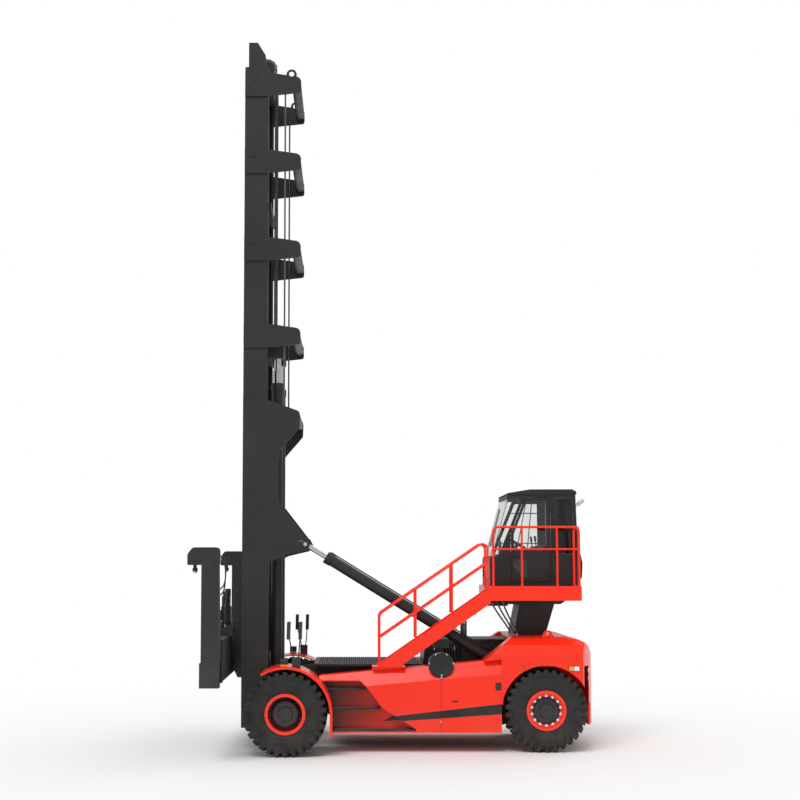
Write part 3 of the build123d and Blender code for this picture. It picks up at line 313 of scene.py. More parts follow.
# Wheels: red rim, black hub inside a given radius
def makeWheelPaint(name, axle, hubRadius):
    material, tree, shader = startMaterial(name, {})
    shift = addNode(tree, "Mapping", {"Vector": objectPlace(tree), "Location": (-axle.x, 0, -axle.z)})
    parts = addNode(tree, "SeparateXYZ", {0: shift.outputs[0]}).outputs
    across, up = [calc(tree, "POWER", parts[axis], 2.0) for axis in "XZ"]
    reach = calc(tree, "SQRT", calc(tree, "ADD", across, up))
    hub = calc(tree, "LESS_THAN", reach, hubRadius)
    weathered(tree, shader, redLook, blendColour(tree, hub, coatedColour(tree, redLook), blackLook["base"]))
    return material


panelRed = makePanelRed()
frontWheelPaint = makeWheelPaint("frontWheelPaint", frontAxle, 0.272)
rearWheelPaint = makeWheelPaint("rearWheelPaint", rearAxle, 0.242)

# Plain finishes: fixed sockets, a pattern and its scale, the two colours that it blends, the range of
# roughness, then strength and depth of the bump, with a scale where the bump is a grain of its own

metalFixed = {"Metallic": 0.85}
metalBump = (0.2, 0.0006, 320.0)
lensFixed = {"Roughness": 0.12, "Coat Weight": 0.6}
lensBump = (0.4, 0.002)
plain = {
    "rodChrome": ({"Metallic": 1.0}, "mottle", 9.0, (0.62, 0.63, 0.65), (0.52, 0.53, 0.55),
                  (0, 1, 0.08, 0.22), None),
    "zincSteel": (metalFixed, "mottle", 11.0, (0.62, 0.62, 0.60), (0.48, 0.48, 0.46),
                  (0, 1, 0.28, 0.48), metalBump),
    "nutZinc": (metalFixed, "mottle", 11.0, (0.90, 0.90, 0.88), (0.80, 0.80, 0.78),
                (0, 1, 0.40, 0.60), metalBump),
    "lineSteel": (metalFixed, "mottle", 11.0, (0.16, 0.16, 0.165), (0.10, 0.10, 0.105),
                  (0, 1, 0.35, 0.55), metalBump),
    "castIron": (metalFixed, "mottle", 11.0, (0.10, 0.10, 0.10), (0.06, 0.06, 0.062),
                 (0, 1, 0.55, 0.75), metalBump),
    "seatCloth": ({"Roughness": 0.92, "Sheen Weight": 0.35}, "YZ", 160.0, (0.030, 0.030, 0.033),
                  (0.075, 0.075, 0.080), None, (0.5, 0.0015)),
    "mouldedBlack": ({}, "grain", 420.0, (0.018, 0.018, 0.019), (0.034, 0.034, 0.035),
                     (0.3, 0.7, 0.45, 0.62), (0.3, 0.0008)),
    "amberLens": (lensFixed, "X", 38.0, (0.80, 0.22, 0.01), (0.95, 0.42, 0.04), None, lensBump),
    "clearLens": (lensFixed, "X", 46.0, (0.72, 0.74, 0.76), (0.92, 0.93, 0.94), None, lensBump),
    "redLens": (lensFixed, "X", 38.0, (0.55, 0.01, 0.01), (0.80, 0.04, 0.03), None, lensBump)}
patterns = {"mottle": mottleGroup, "grain": grainGroup}


# A shared effect by its name, or waves along the named axes
def makePattern(tree, kind, scale):
    if kind in patterns:
        return useGroup(tree, patterns[kind], scale=scale)
    waves = [addNode(tree, "TexWave", {"Vector": objectPlace(tree), "Scale": scale}, bands_direction=axis)
             for axis in kind]
    found = waves[0].outputs["Fac"]
    for wave in waves[1:]:
        found = calc(tree, "MULTIPLY", found, wave.outputs["Fac"])
    return found


def makePlain(name):
    fixed, kind, scale, base, shade, rough, bump = plain[name]
    material, tree, shader = startMaterial(name, fixed)
    mask = makePattern(tree, kind, scale)
    feed(tree, shader, "Base Color", blendColour(tree, mask, base, shade))
    if rough:
        feed(tree, shader, "Roughness", ramp(tree, mask, *rough))
    if bump:
        strength, depth, *grain = bump
        height = makePattern(tree, "grain", grain[0]) if grain else mask
        setBump(tree, shader, height, strength, depth)
    return material


rubberLook = {"base": (0.014, 0.014, 0.0142), "shade": (0.021, 0.021, 0.0213), "mottle": 3.0, "grain": 260.0,
              "dustHeight": 1.9, "dust": 0.16, "dustScale": 5.0, "rough": (0.62, 0.82), "bump": (0.3, 0.0015)}


def makeRubber():
    material, tree, shader = startMaterial("tyreRubber", {"Specular IOR Level": 0.30})
    look = rubberLook
    mottle = useGroup(tree, mottleGroup, scale=look["mottle"])
    colour = blendColour(tree, mottle, look["base"], look["shade"])
    dust = useGroup(tree, dustGroup, height=look["dustHeight"], amount=look["dust"], scale=look["dustScale"])
    feed(tree, shader, "Base Color", blendColour(tree, dust, colour, dustColour))
    feed(tree, shader, "Roughness", ramp(tree, mottle, 0, 1, *look["rough"]))
    setBump(tree, shader, useGroup(tree, grainGroup, scale=look["grain"]), *look["bump"])
    return material


# The quarter panes and the rear pane, behind the place smokedFrom, are smoked
glassLook = {"tint": (0.88, 0.895, 0.89), "film": (0.82, 0.84, 0.835), "smoked": (0.10, 0.11, 0.11),
             "smokedFrom": frontAxle.x - 4.62, "filmScale": 1.4}


def makeGlass():
    fixed = {"Roughness": 0.02, "IOR": 1.45, "Transmission Weight": 1.0}
    material, tree, shader = startMaterial("cabGlass", fixed)
    film = useGroup(tree, mottleGroup, scale=glassLook["filmScale"])
    tint = blendColour(tree, film, glassLook["tint"], glassLook["film"])
    along = addNode(tree, "SeparateXYZ", {0: objectPlace(tree)}).outputs["X"]
    behind = calc(tree, "LESS_THAN", along, glassLook["smokedFrom"])
    feed(tree, shader, "Base Color", blendColour(tree, behind, tint, glassLook["smoked"]))
    return material


(rodChrome, zincSteel, nutZinc, lineSteel, castIron, seatCloth, mouldedBlack, amberLens, clearLens,
 redLens) = [makePlain(name) for name in plain]
tyreRubber = makeRubber()
cabGlass = makeGlass()
print("materials made")


finishes = {
    "red_paint": bodyRed, "black_paint": frameBlack, "mast_paint": mastGrey, "cylinder_chrome": rodChrome,
    "steel": lineSteel, "engine_iron": castIron, "tyre_rubber": tyreRubber, "clear_glass": cabGlass,
    "black_plastic": mouldedBlack, "seat_fabric": seatCloth, "lamp_plastic": mouldedBlack}
special = {
    "side_panel_left": panelRed, "side_panel_right": panelRed,
    "front_wheel_left": frontWheelPaint, "front_wheel_right": frontWheelPaint,
    "rear_wheel_left": rearWheelPaint, "rear_wheel_right": rearWheelPaint}


def dressNodes():
    for row in frame["record"]["subparts"]:
        node = row["node"]
        material = special.get(node, finishes[row["material_slot"]])
        for slot in nodes[node].material_slots:
            slot.material = material


dressNodes()
print("nodes dressed")


# Helpers for new pieces

def deselectAll():
    if bpy.context.mode != "OBJECT":
        bpy.ops.object.mode_set(mode="OBJECT")
    bpy.ops.object.select_all(action="DESELECT")


def makeActive(piece):
    deselectAll()
    piece.select_set(True)
    bpy.context.view_layer.objects.active = piece


def applyModifier(piece, kind, **settings):
    makeActive(piece)
    modifier = piece.modifiers.new(kind.lower(), kind)
    for key, value in settings.items():
        setattr(modifier, key, value)
    bpy.ops.object.modifier_apply(modifier=modifier.name)


def repeatPiece(piece, count, offset):
    applyModifier(piece, "ARRAY", count=count, use_relative_offset=False, use_constant_offset=True,
                  constant_offset_displace=offset)


def softenEdges(piece, width, angle=30):
    applyModifier(piece, "BEVEL", width=width, segments=2, limit_method="ANGLE",
                  angle_limit=math.radians(angle))
    makeActive(piece)
    bpy.ops.object.shade_smooth_by_angle(angle=math.radians(40))


def bakePlace(piece):
    makeActive(piece)
    bpy.ops.object.transform_apply(location=True, rotation=True, scale=True)


def selectFaces(piece, normal, limit=0.9):
    bpy.ops.mesh.select_mode(type="FACE")
    bpy.ops.mesh.select_all(action="DESELECT")
    bpy.ops.object.mode_set(mode="OBJECT")
    for face in piece.data.polygons:
        face.select = face.normal.dot(normal) > limit
    bpy.ops.object.mode_set(mode="EDIT")


def finishNew(name, material, bevel, angle):
    piece = bpy.context.object
    piece.name = name
    bakePlace(piece)
    softenEdges(piece, bevel, angle)
    piece.data.materials.append(material)
    return piece


def addBlock(name, low, high, material, bevel=0.004):
    deselectAll()
    low, high = at(*low), at(*high)
    bpy.ops.mesh.primitive_cube_add(size=1, location=(low + high) / 2)
    bpy.context.object.scale = high - low
    return finishNew(name, material, bevel, 30)


def addRod(name, start, end, radius, material, sides=24, bevel=0.002):
    deselectAll()
    start, end = at(*start), at(*end)
    turn = (end - start).to_track_quat("Z", "Y").to_euler()
    bpy.ops.mesh.primitive_cylinder_add(vertices=sides, radius=radius, depth=(end - start).length,
                                        location=(start + end) / 2, rotation=turn)
    return finishNew(name, material, bevel, 60)


def addPost(name, x, y, low, high, *look):
    return addRod(name, (x, y, low), (x, y, high), *look)


# Parts from rows of name: maker, then its places, measures and finish
def buildAll(rows):
    return [maker(name, *row) for name, (maker, *row) in rows.items()]


def copyPiece(piece, move, name):
    twin = piece.copy()
    twin.data = piece.data.copy()
    twin.name = name
    twin.data.transform(move)
    bpy.context.scene.collection.objects.link(twin)
    return twin


def joinPieces(name, pieces):
    deselectAll()
    for piece in pieces:
        piece.select_set(True)
    bpy.context.view_layer.objects.active = pieces[0]
    if len(pieces) > 1:
        bpy.ops.object.join()
    joined = bpy.context.view_layer.objects.active
    joined.name = name
    joined.data.name = name
    return joined


def mirrorPiece(piece, name):
    twin = copyPiece(piece, Matrix.Scale(-1, 4, (0, 1, 0)), name)
    makeActive(twin)
    bpy.ops.object.mode_set(mode="EDIT")
    bpy.ops.mesh.select_all(action="SELECT")
    bpy.ops.mesh.flip_normals()
    bpy.ops.object.mode_set(mode="OBJECT")
    return twin


def bothSides(parts, name):
    half = joinPieces(name + "Half", parts)
    return joinPieces(name, [half, mirrorPiece(half, name + "Twin")])


# Copies of a piece turned about an axle that runs across the machine
def turnCopies(piece, axle, turns, name):
    copies = []
    for turn in turns:
        move = Matrix.Translation(axle) @ Matrix.Rotation(turn, 4, "Y") @ Matrix.Translation(-axle)
        copies.append(copyPiece(piece, move, name))
    bpy.data.objects.remove(piece)
    return joinPieces(name, copies)


def seatPiece(piece, body, replaced=()):
    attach(piece, body)
    for node in replaced:
        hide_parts(node)
    return piece


def drawChain(name, points):
    deselectAll()
    bpy.ops.mesh.primitive_plane_add(size=0.01, location=(0, 0, 0))
    piece = bpy.context.object
    piece.name = name
    bpy.ops.object.mode_set(mode="EDIT")
    bpy.ops.mesh.select_mode(type="VERT")
    bpy.ops.mesh.select_all(action="SELECT")
    bpy.ops.mesh.merge(type="CENTER")
    bpy.ops.transform.translate(value=points[0])
    for start, end in zip(points, points[1:]):
        bpy.ops.mesh.extrude_region_move(TRANSFORM_OT_translate={"value": Vector(end) - Vector(start)})
    bpy.ops.mesh.select_all(action="SELECT")
    return piece


def closeMesh(piece, angle, material):
    makeActive(piece)
    bpy.ops.object.mode_set(mode="EDIT")
    bpy.ops.mesh.select_all(action="SELECT")
    bpy.ops.mesh.remove_doubles(threshold=0.0002)
    bpy.ops.mesh.normals_make_consistent(inside=False)
    bpy.ops.object.mode_set(mode="OBJECT")
    makeActive(piece)
    bpy.ops.object.shade_smooth_by_angle(angle=math.radians(angle))
    piece.data.materials.append(material)
    return piece


def spinProfile(name, points, centre, axis, turns, material):
    piece = drawChain(name, points)
    bpy.ops.mesh.spin(steps=turns, angle=2 * math.pi, center=centre, axis=axis)
    return closeMesh(piece, 35, material)


def addPlate(name, points, depth, material, bevel=0.003):
    piece = drawChain(name, [at(*point) for point in points])
    bpy.ops.mesh.edge_face_add()
    bpy.ops.mesh.extrude_region_move(TRANSFORM_OT_translate={"value": depth})
    bpy.ops.mesh.select_all(action="SELECT")
    bpy.ops.mesh.normals_make_consistent(inside=False)
    bpy.ops.object.mode_set(mode="OBJECT")
    if bevel:
        softenEdges(piece, bevel)
    piece.data.materials.append(material)
    return piece


def addTube(name, points, radius, material, closed=False, smooth=False, sides=2):
    data = bpy.data.curves.new(name, "CURVE")
    data.dimensions = "3D"
    data.bevel_depth = radius
    data.bevel_resolution = sides
    data.use_fill_caps = not closed
    data.resolution_u = 8
    line = data.splines.new("NURBS" if smooth else "POLY")
    line.points.add(len(points) - 1)
    for spot, place in zip(line.points, points):
        spot.co = (*at(*place), 1)
    line.use_cyclic_u = closed
    if smooth:
        line.order_u = 3
        line.use_endpoint_u = not closed
    piece = bpy.data.objects.new(name, data)
    bpy.context.scene.collection.objects.link(piece)
    makeActive(piece)
    bpy.ops.object.convert(target="MESH")
    return closeMesh(bpy.context.object, 40, material)


# Points of one upright plane across the machine, from pairs of x and z
def inPlane(y, pairs):
    return [(x, y, z) for x, z in pairs]


def roundCorners(corners, reach, cuts=4):
    points = []
    count = len(corners)
    for k in range(count):
        before, here, after = Vector(corners[k - 1]), Vector(corners[k]), Vector(corners[(k + 1) % count])
        enter = here + (before - here).normalized() * reach
        leave = here + (after - here).normalized() * reach
        for cut in range(cuts + 1):
            t = cut / cuts
            points.append(enter.lerp(here, t).lerp(here.lerp(leave, t), t))
    return points


# Tyres: a turned carcass with two staggered rows of shoulder lugs

tyre = {"radius": 0.700, "halfWidth": 0.1875, "tread": 0.655, "beadHalf": 0.148, "lugs": 30, "turns": 90,
        "bead": [(0.028, 0.3065), (0.0, 0.3185), (-0.004, 0.350)],  # inset, radius
        "wall": [(0.026, 0.372), (0.012, 0.405), (0.015, 0.415), (0.004, 0.455), (0.001, 0.500),
                 (0.004, 0.507), (0.004, 0.560), (0.014, 0.610), (0.040, 0.647), (0.085, 0.655)]}
lugShape = {"width": 0.074, "inner": 0.012, "outerInset": 0.030, "sunk": 0.012, "topInset": 0.004,
            "shoulder": (0, 0.026, -0.016), "drop": (0, 0.0035, -0.070), "slant": 0.055, "taper": 0.86,
            "crown": 0.02, "bevel": 0.006}


def makeLug():
    # One shoulder lug: a block across half the tread, its outer end drawn down the sidewall
    deselectAll()
    inner, outer = lugShape["inner"], tyre["halfWidth"] - lugShape["outerInset"]
    low, high = tyre["tread"] - lugShape["sunk"], tyre["radius"] - lugShape["topInset"]
    bpy.ops.mesh.primitive_cube_add(size=1, location=(0, (inner + outer) / 2, (low + high) / 2))
    lug = bpy.context.object
    lug.name = "lug"
    lug.scale = (lugShape["width"], outer - inner, high - low)
    bakePlace(lug)
    bpy.ops.object.mode_set(mode="EDIT")
    selectFaces(lug, Vector((0, 1, 0)))
    for move in (lugShape["shoulder"], lugShape["drop"]):
        bpy.ops.mesh.extrude_region_move(TRANSFORM_OT_translate={"value": move})
    bpy.ops.object.mode_set(mode="OBJECT")
    for corner in lug.data.vertices:
        lean = (outer - corner.co.y) / (outer - inner)
        corner.co.x += lugShape["slant"] * max(lean, 0)
        if corner.co.z > high - lugShape["crown"] and corner.co.y < outer + 0.001:
            corner.co.x *= lugShape["taper"]
    softenEdges(lug, lugShape["bevel"], 25)
    lug.data.materials.append(tyreRubber)
    return lug


def makeTyre():
    half = [(tyre["beadHalf"] - inset, radius) for inset, radius in tyre["bead"]]
    half += [(tyre["halfWidth"] - inset, radius) for inset, radius in tyre["wall"]]
    profile = [(0, y, z) for y, z in half] + [(0, -y, z) for y, z in reversed(half)]
    profile.append(profile[0])
    carcass = spinProfile("tyreCarcass", profile, (0, 0, 0), (0, 1, 0), tyre["turns"], tyreRubber)
    lug = makeLug()
    lugs = []
    pitch = 2 * math.pi / tyre["lugs"]
    for k in range(tyre["lugs"]):
        lugs.append(copyPiece(lug, Matrix.Rotation(math.pi + k * pitch, 4, "Y"), "lug"))
        flip = Matrix.Rotation(math.pi + (k + 0.5) * pitch, 4, "Y") @ Matrix.Rotation(math.pi, 4, "Z")
        lugs.append(copyPiece(lug, flip, "lug"))
    bpy.data.objects.remove(lug)
    return joinPieces("tyre", [carcass] + lugs)


tyrePlaces = {
    "front_tyres_left": ("front_wheel_left", frontAxle, (1.4325, 1.8625)),
    "front_tyres_right": ("front_wheel_right", frontAxle, (-1.4325, -1.8625)),
    "rear_tyre_left": ("rear_wheel_left", rearAxle, (1.245,)),
    "rear_tyre_right": ("rear_wheel_right", rearAxle, (-1.245,))}


def placeTyres():
    plain = makeTyre()
    for node, (body, axle, spots) in tyrePlaces.items():
        copies = [copyPiece(plain, Matrix.Translation((axle.x, y, axle.z)), node) for y in spots]
        seatPiece(joinPieces(node + "_treaded", copies), body, [node])
    bpy.data.objects.remove(plain)


placeTyres()
print("tyres placed")


# Wheel nuts: a ring on the rear discs, and on the front discs round the planetary hubs

nutRings = {  # count, circle, face, radius, depth, finish
    "rear": (14, 0.250, 1.3525, 0.027, 0.030, nutZinc),
    "front": (20, 0.258, 1.6602, 0.016, 0.028, lineSteel),
    "hub": (12, 0.165, 1.9300, 0.013, 0.014, lineSteel)}


def nutRing(key, axle):
    count, circle, face, radius, depth, finish = nutRings[key]
    x, z, tip = axle.x - frontAxle.x, axle.z + circle, face + depth
    nut = addRod("nut", (x, face - 0.004, z), (x, tip, z), radius, finish, 6, 0.003)
    stud = addRod("stud", (x, face, z), (x, tip + 0.012, z), radius * 0.5, finish, 10)
    turns = [2 * math.pi * k / count for k in range(count)]
    return turnCopies(joinPieces("nut", [nut, stud]), axle, turns, "ring")


def placeNuts():
    for end, axle, rings in (("rear", rearAxle, ("rear",)), ("front", frontAxle, ("front", "hub"))):
        left = joinPieces(end + "_nuts_left", [nutRing(key, axle) for key in rings])
        twin = mirrorPiece(left, end + "_nuts_right")
        seatPiece(left, end + "_wheel_left")
        seatPiece(twin, end + "_wheel_right")


placeNuts()
print("wheel nuts placed")


# Operator's seat: three swollen cushions with piping on a folded bellows

seat = {"voxel": 0.008, "pressure": 4.0, "steps": 20, "cap": 0.016, "channel": 0.007, "channelWidth": 0.013,
        "channels": (-0.145, 0.145), "panLow": (-4.725, -0.236, 3.172), "panHigh": (-4.312, 0.236, 3.272),
        "panRest": 0.012, "panBevel": 0.030, "padBevel": 0.026, "lean": (0.98, 0, 0.18),
        "back": [(-4.716, 3.270), (-4.836, 3.965), (-4.918, 3.965), (-4.808, 3.270)], "backHalf": 0.228,
        "head": [(-4.840, 3.992), (-4.860, 4.116), (-4.926, 4.116), (-4.920, 3.992)], "headHalf": 0.120,
        "pipingDrop": 0.020, "pipingCorner": 0.05, "piping": 0.005,
        "folds": 7, "foldLow": 2.852, "foldHigh": 3.168, "foldX": -4.53, "foldHalf": 0.185, "foldStep": 0.012,
        "posts": (-0.075, 0.075)}


def swellCushion(piece, rests):
    makeActive(piece)
    piece.data.remesh_voxel_size = seat["voxel"]
    bpy.ops.object.voxel_remesh()
    start = [corner.co.copy() for corner in piece.data.vertices]
    cloth = piece.modifiers.new("swell", "CLOTH")
    cloth.settings.use_pressure = True
    cloth.settings.uniform_pressure_force = seat["pressure"]
    cloth.settings.effector_weights.gravity = 0
    for step in range(1, seat["steps"] + 1):
        bpy.context.scene.frame_set(step)
    bpy.ops.object.modifier_apply(modifier="swell")
    bpy.context.scene.frame_set(1)
    for corner, first in zip(piece.data.vertices, start):
        move = corner.co - first
        if rests(first):
            corner.co = first
        elif move.length > seat["cap"]:
            corner.co = first + move.normalized() * seat["cap"]


def sewChannels(piece, outward):
    for corner in piece.data.vertices:
        if corner.normal.dot(outward) > 0.3:
            away = [(corner.co.y - line) / seat["channelWidth"] for line in seat["channels"]]
            corner.co -= outward * seat["channel"] * sum(math.exp(-gap ** 2) for gap in away)


def finishCushion(piece):
    applyModifier(piece, "SUBSURF", levels=1, render_levels=1)
    makeActive(piece)
    bpy.ops.object.shade_smooth()
    piece.data.materials.clear()
    piece.data.materials.append(seatCloth)
    seatPiece(piece, "chassis", ["operator_seat"])


def makeCushions():
    pan = addBlock("seat_pan", seat["panLow"], seat["panHigh"], seatCloth, seat["panBevel"])
    swellCushion(pan, lambda spot: spot.z < seat["panLow"][2] + seat["panRest"])
    sewChannels(pan, Vector((0, 0, 1)))
    finishCushion(pan)
    for key in ("back", "head"):
        half = seat[key + "Half"]
        outline = inPlane(-half, seat[key])
        pad = addPlate("seat_" + key, outline, (0, half * 2, 0), seatCloth, seat["padBevel"])
        swellCushion(pad, lambda spot: False)
        sewChannels(pad, Vector(seat["lean"]))
        finishCushion(pad)


def makeSeatMount():
    (x0, y0, _), (x1, y1, top) = seat["panLow"], seat["panHigh"]
    rim = [(x, y, top - seat["pipingDrop"]) for x, y in ((x0, y0), (x1, y0), (x1, y1), (x0, y1))]
    rim = roundCorners(rim, seat["pipingCorner"])
    parts = [addTube("seat_piping", rim, seat["piping"], mouldedBlack, closed=True)]
    tall = (seat["foldHigh"] - seat["foldLow"]) / seat["folds"]
    for fold in range(seat["folds"]):
        base, wide = seat["foldLow"] + fold * tall, seat["foldHalf"] - seat["foldStep"] * (fold % 2)
        rear, front = seat["foldX"] - wide * 0.8, seat["foldX"] + wide * 0.8
        parts.append(addBlock("fold", (rear, -wide, base), (front, wide, base + tall), mouldedBlack, 0.016))
    for y in seat["posts"]:
        parts.append(addRod("headPost", (-4.872, y, 3.93), (-4.884, y, 4.02), 0.007, zincSteel, 12))
    seatPiece(joinPieces("seat_mount", parts), "chassis", ["operator_seat"])


makeCushions()
makeSeatMount()
print("seat made")


# Cab: rubber seals round every pane, wiper, grab rail, arm consoles and a screen

cab = {"noseX": -3.530, "noseZ": 3.260, "lean": 0.28, "pillarX": -3.660, "pillarLean": 0.404, "wall": 0.745,
       "seal": 0.010, "sealCorner": 0.035, "screenLow": 3.310, "screenHigh": 4.340, "screenInset": 0.006,
       "paneEdge": 0.7295, "jointInset": 0.024, "joint": 0.005}


def noseAt(z):
    return cab["noseX"] - cab["lean"] * max(z - cab["noseZ"], 0)


def pillarAt(z):
    return cab["pillarX"] - cab["pillarLean"] * max(z - cab["noseZ"], 0)


sideWindows = {
    "doorUpper": [(-3.940, 3.420), (-3.940, 3.706), (pillarAt(4.27) - 0.10, 4.270), (-4.530, 4.270),
                  (-4.530, 3.420)],
    "doorLower": [(-3.940, 3.130), (-3.965, 3.250), (-4.190, 3.250), (-4.190, 2.950), (-4.070, 2.950)],
    "quarter": [(-4.690, 3.350), (-4.690, 4.330), (-4.985, 4.330), (-4.985, 3.350)],
    "guarded": [(pillarAt(3.35) - 0.05, 3.350), (pillarAt(4.30) - 0.05, 4.300), (-4.560, 4.300),
                (-4.560, 3.350)]}
openFrames = {
    "toe": [(-3.534, 0.620, 2.930), (-3.534, 0.620, 3.220), (-3.534, -0.620, 3.220), (-3.534, -0.620, 2.930)],
    "rear": [(-5.066, 0.640, 3.480), (-5.038, 0.640, 4.330), (-5.038, -0.640, 4.330),
             (-5.066, -0.640, 3.480)],
    "roof": [(-3.905, 0.640, 4.428), (-3.905, -0.640, 4.428), (-4.225, -0.640, 4.481),
             (-4.225, 0.640, 4.481)]}


def wrapFrame():
    # The front window runs round both corners, from pillar to pillar
    low, high, wall = cab["screenLow"], cab["screenHigh"], cab["wall"]
    under = [(pillarAt(low), wall, low), (noseAt(low) - cab["screenInset"], wall, low)]
    over = [(noseAt(high) - cab["screenInset"], wall, high), (pillarAt(high), wall, high)]
    farUnder = [(x, -y, z) for x, y, z in reversed(under)]
    farOver = [(x, -y, z) for x, y, z in reversed(over)]
    return under + farUnder + farOver + over


def sealLoop(points):
    line = roundCorners(points, cab["sealCorner"])
    return addTube("seal", line, cab["seal"], mouldedBlack, closed=True, sides=1)


def sideSeal(key, side=1):
    return sealLoop(inPlane(cab["wall"] * side, sideWindows[key]))


def makeSeals():
    doorSeals = [sideSeal(key) for key in ("doorUpper", "doorLower")]
    seatPiece(joinPieces("door_seals", doorSeals), "cab_door")
    seals = [sealLoop(loop) for loop in [wrapFrame(), *openFrames.values()]]
    seals += [sideSeal("quarter"), sideSeal("quarter", -1), sideSeal("guarded", -1)]
    for y in (cab["paneEdge"], -cab["paneEdge"]):
        joint = [(noseAt(z) - cab["jointInset"], y, z) for z in (cab["screenLow"], cab["screenHigh"])]
        seals.append(addTube("cornerJoint", joint, cab["joint"], mouldedBlack, sides=1))
    seatPiece(joinPieces("cab_seals", seals), "chassis")


wiperRows = {
    "spindle": (addRod, (noseAt(3.29) - 0.02, 0.10, 3.285), (noseAt(3.29) + 0.025, 0.10, 3.285), 0.016,
                mouldedBlack),
    "arm": (addTube, [(noseAt(3.29) + 0.016, 0.10, 3.285), (noseAt(3.50) + 0.022, 0.02, 3.50),
                      (noseAt(3.84) + 0.004, -0.12, 3.84)], 0.006, mouldedBlack),
    "bladeRoot": (addBlock, (noseAt(3.84) - 0.014, -0.135, 3.825), (noseAt(3.84) + 0.006, -0.105, 3.855),
                  mouldedBlack),
    "blade": (addTube, [(noseAt(3.50) - 0.008, -0.02, 3.50), (noseAt(4.18) - 0.008, -0.22, 4.18)], 0.008,
              mouldedBlack),
    "grab": (addTube, [(-4.655, 0.748, 3.30), (-4.655, 0.800, 3.32), (-4.655, 0.800, 3.93),
                       (-4.655, 0.748, 3.95)], 0.011, frameBlack)}
dashRows = {
    "screen": (addBlock, (-3.84, -0.54, 3.42), (-3.805, -0.30, 3.60), mouldedBlack, 0.008),
    "screenStalk": (addTube, [(-3.80, -0.42, 3.20), (-3.81, -0.42, 3.46)], 0.014, mouldedBlack),
    "dash": (addBlock, (-3.80, -0.66, 3.16), (-3.60, 0.66, 3.26), mouldedBlack, 0.03)}


def armRows(y):
    return {"armPad": (addBlock, (-4.70, y - 0.05, 3.44), (-4.36, y + 0.05, 3.50), mouldedBlack, 0.018),
            "armBox": (addBlock, (-4.66, y - 0.04, 3.20), (-4.46, y + 0.04, 3.45), mouldedBlack, 0.012),
            "lever": (addTube, [(-4.40, y, 3.49), (-4.385, y, 3.60)], 0.010, mouldedBlack),
            "grip": (addRod, (-4.387, y, 3.58), (-4.375, y, 3.68), 0.021, mouldedBlack, 16, 0.010)}


def makeCabFittings():
    seatPiece(joinPieces("cab_wiper", buildAll(wiperRows)), "chassis")
    console = buildAll(armRows(0.285)) + buildAll(armRows(-0.285)) + buildAll(dashRows)
    seatPiece(joinPieces("cab_console", console), "chassis")


makeSeals()
makeCabFittings()
print("cab fitted out")


# Lamps: fender markers, tail lamps, work lamps behind the cab roof and round lamps on the tail

tail = {"radius": 3.407, "centreX": -1.943}
workLamp = {"back": Vector((-5.085, 0.690, 4.222)), "front": Vector((-5.190, 0.690, 4.302)),
            "fins": (0.15, 0.35, 0.55, 0.93), "fin": 0.06}
roundLamp = {"y": 1.12, "red": 1.235, "amber": 1.365}


def onTail(y, z, out):
    turn = math.asin(y / tail["radius"])
    reach = tail["radius"] + out
    return (tail["centreX"] - reach * math.cos(turn), reach * math.sin(turn), z)


def onWork(*shares):
    return [workLamp["back"].lerp(workLamp["front"], share) for share in shares]


def onRound(key, *outs):
    return [onTail(roundLamp["y"], roundLamp[key], out) for out in outs]


finRows = {"workFin" + str(share): (addRod, *onWork(share, share + workLamp["fin"]), 0.036, zincSteel, 32)
           for share in workLamp["fins"]}
lampRows = {
    "lamp_housings": {
        "marker": (addBlock, (-0.040, 1.885, 1.518), (0.090, 1.955, 1.603), mouldedBlack, 0.010),
        "markerLip": (addBlock, (-0.046, 1.880, 1.512), (0.096, 1.960, 1.522), mouldedBlack, 0.003),
        "tailRim": (addBlock, (-4.962, 1.448, 1.366), (-4.778, 1.460, 1.454), mouldedBlack, 0.005),
        "lampArm": (addTube, [(-5.030, 0.690, 4.170), (-5.085, 0.690, 4.222), (-5.100, 0.690, 4.234)], 0.016,
                    zincSteel),
        "workLamp": (addRod, *onWork(0, 1), 0.034, zincSteel, 32, 0.008),
        **finRows,
        "redRim": (addRod, *onRound("red", -0.020, 0.006), 0.056, mouldedBlack, 32, 0.004),
        "amberRim": (addRod, *onRound("amber", -0.020, 0.006), 0.056, mouldedBlack, 32, 0.004)},
    "amber_lenses": {
        "markerLens": (addBlock, (-0.036, 1.888, 1.474), (0.086, 1.960, 1.516), amberLens, 0.010),
        "tailAmber": (addBlock, (-4.868, 1.456, 1.372), (-4.784, 1.472, 1.448), amberLens, 0.006),
        "roundAmber": (addRod, *onRound("amber", 0.0, 0.011), 0.047, amberLens, 32, 0.008)},
    "clear_lenses": {
        "tailClear": (addBlock, (-4.957, 1.456, 1.372), (-4.872, 1.472, 1.448), clearLens, 0.006),
        "workLens": (addRod, *onWork(0.97, 1.02), 0.030, clearLens, 32, 0.004)},
    "red_lenses": {"roundRed": (addRod, *onRound("red", 0.0, 0.011), 0.047, redLens, 32, 0.008)}}


def makeLamps():
    for name, rows in lampRows.items():
        seatPiece(bothSides(buildAll(rows), name), "chassis", ["lamps"])


mirrorGlass = {"heads": (-0.050, -0.245), "y": 1.812, "width": 0.166,
               "section": [(-0.0270, 1.945), (-0.0325, 2.195), (-0.0365, 2.195), (-0.0315, 1.945)]}


def makeMirrorGlass():
    panes = []
    for head in mirrorGlass["heads"]:
        outline = [(head + x, mirrorGlass["y"], z) for x, z in mirrorGlass["section"]]
        panes.append(addPlate("mirror", outline, (0, mirrorGlass["width"], 0), rodChrome, 0.001))
    seatPiece(bothSides(panes, "mirror_glass"), "chassis")


makeLamps()
makeMirrorGlass()
print("lamps and mirrors made")


# Walkways: raised lozenges on the deck and platform, grip bars on the treads, sleeves at the rail feet

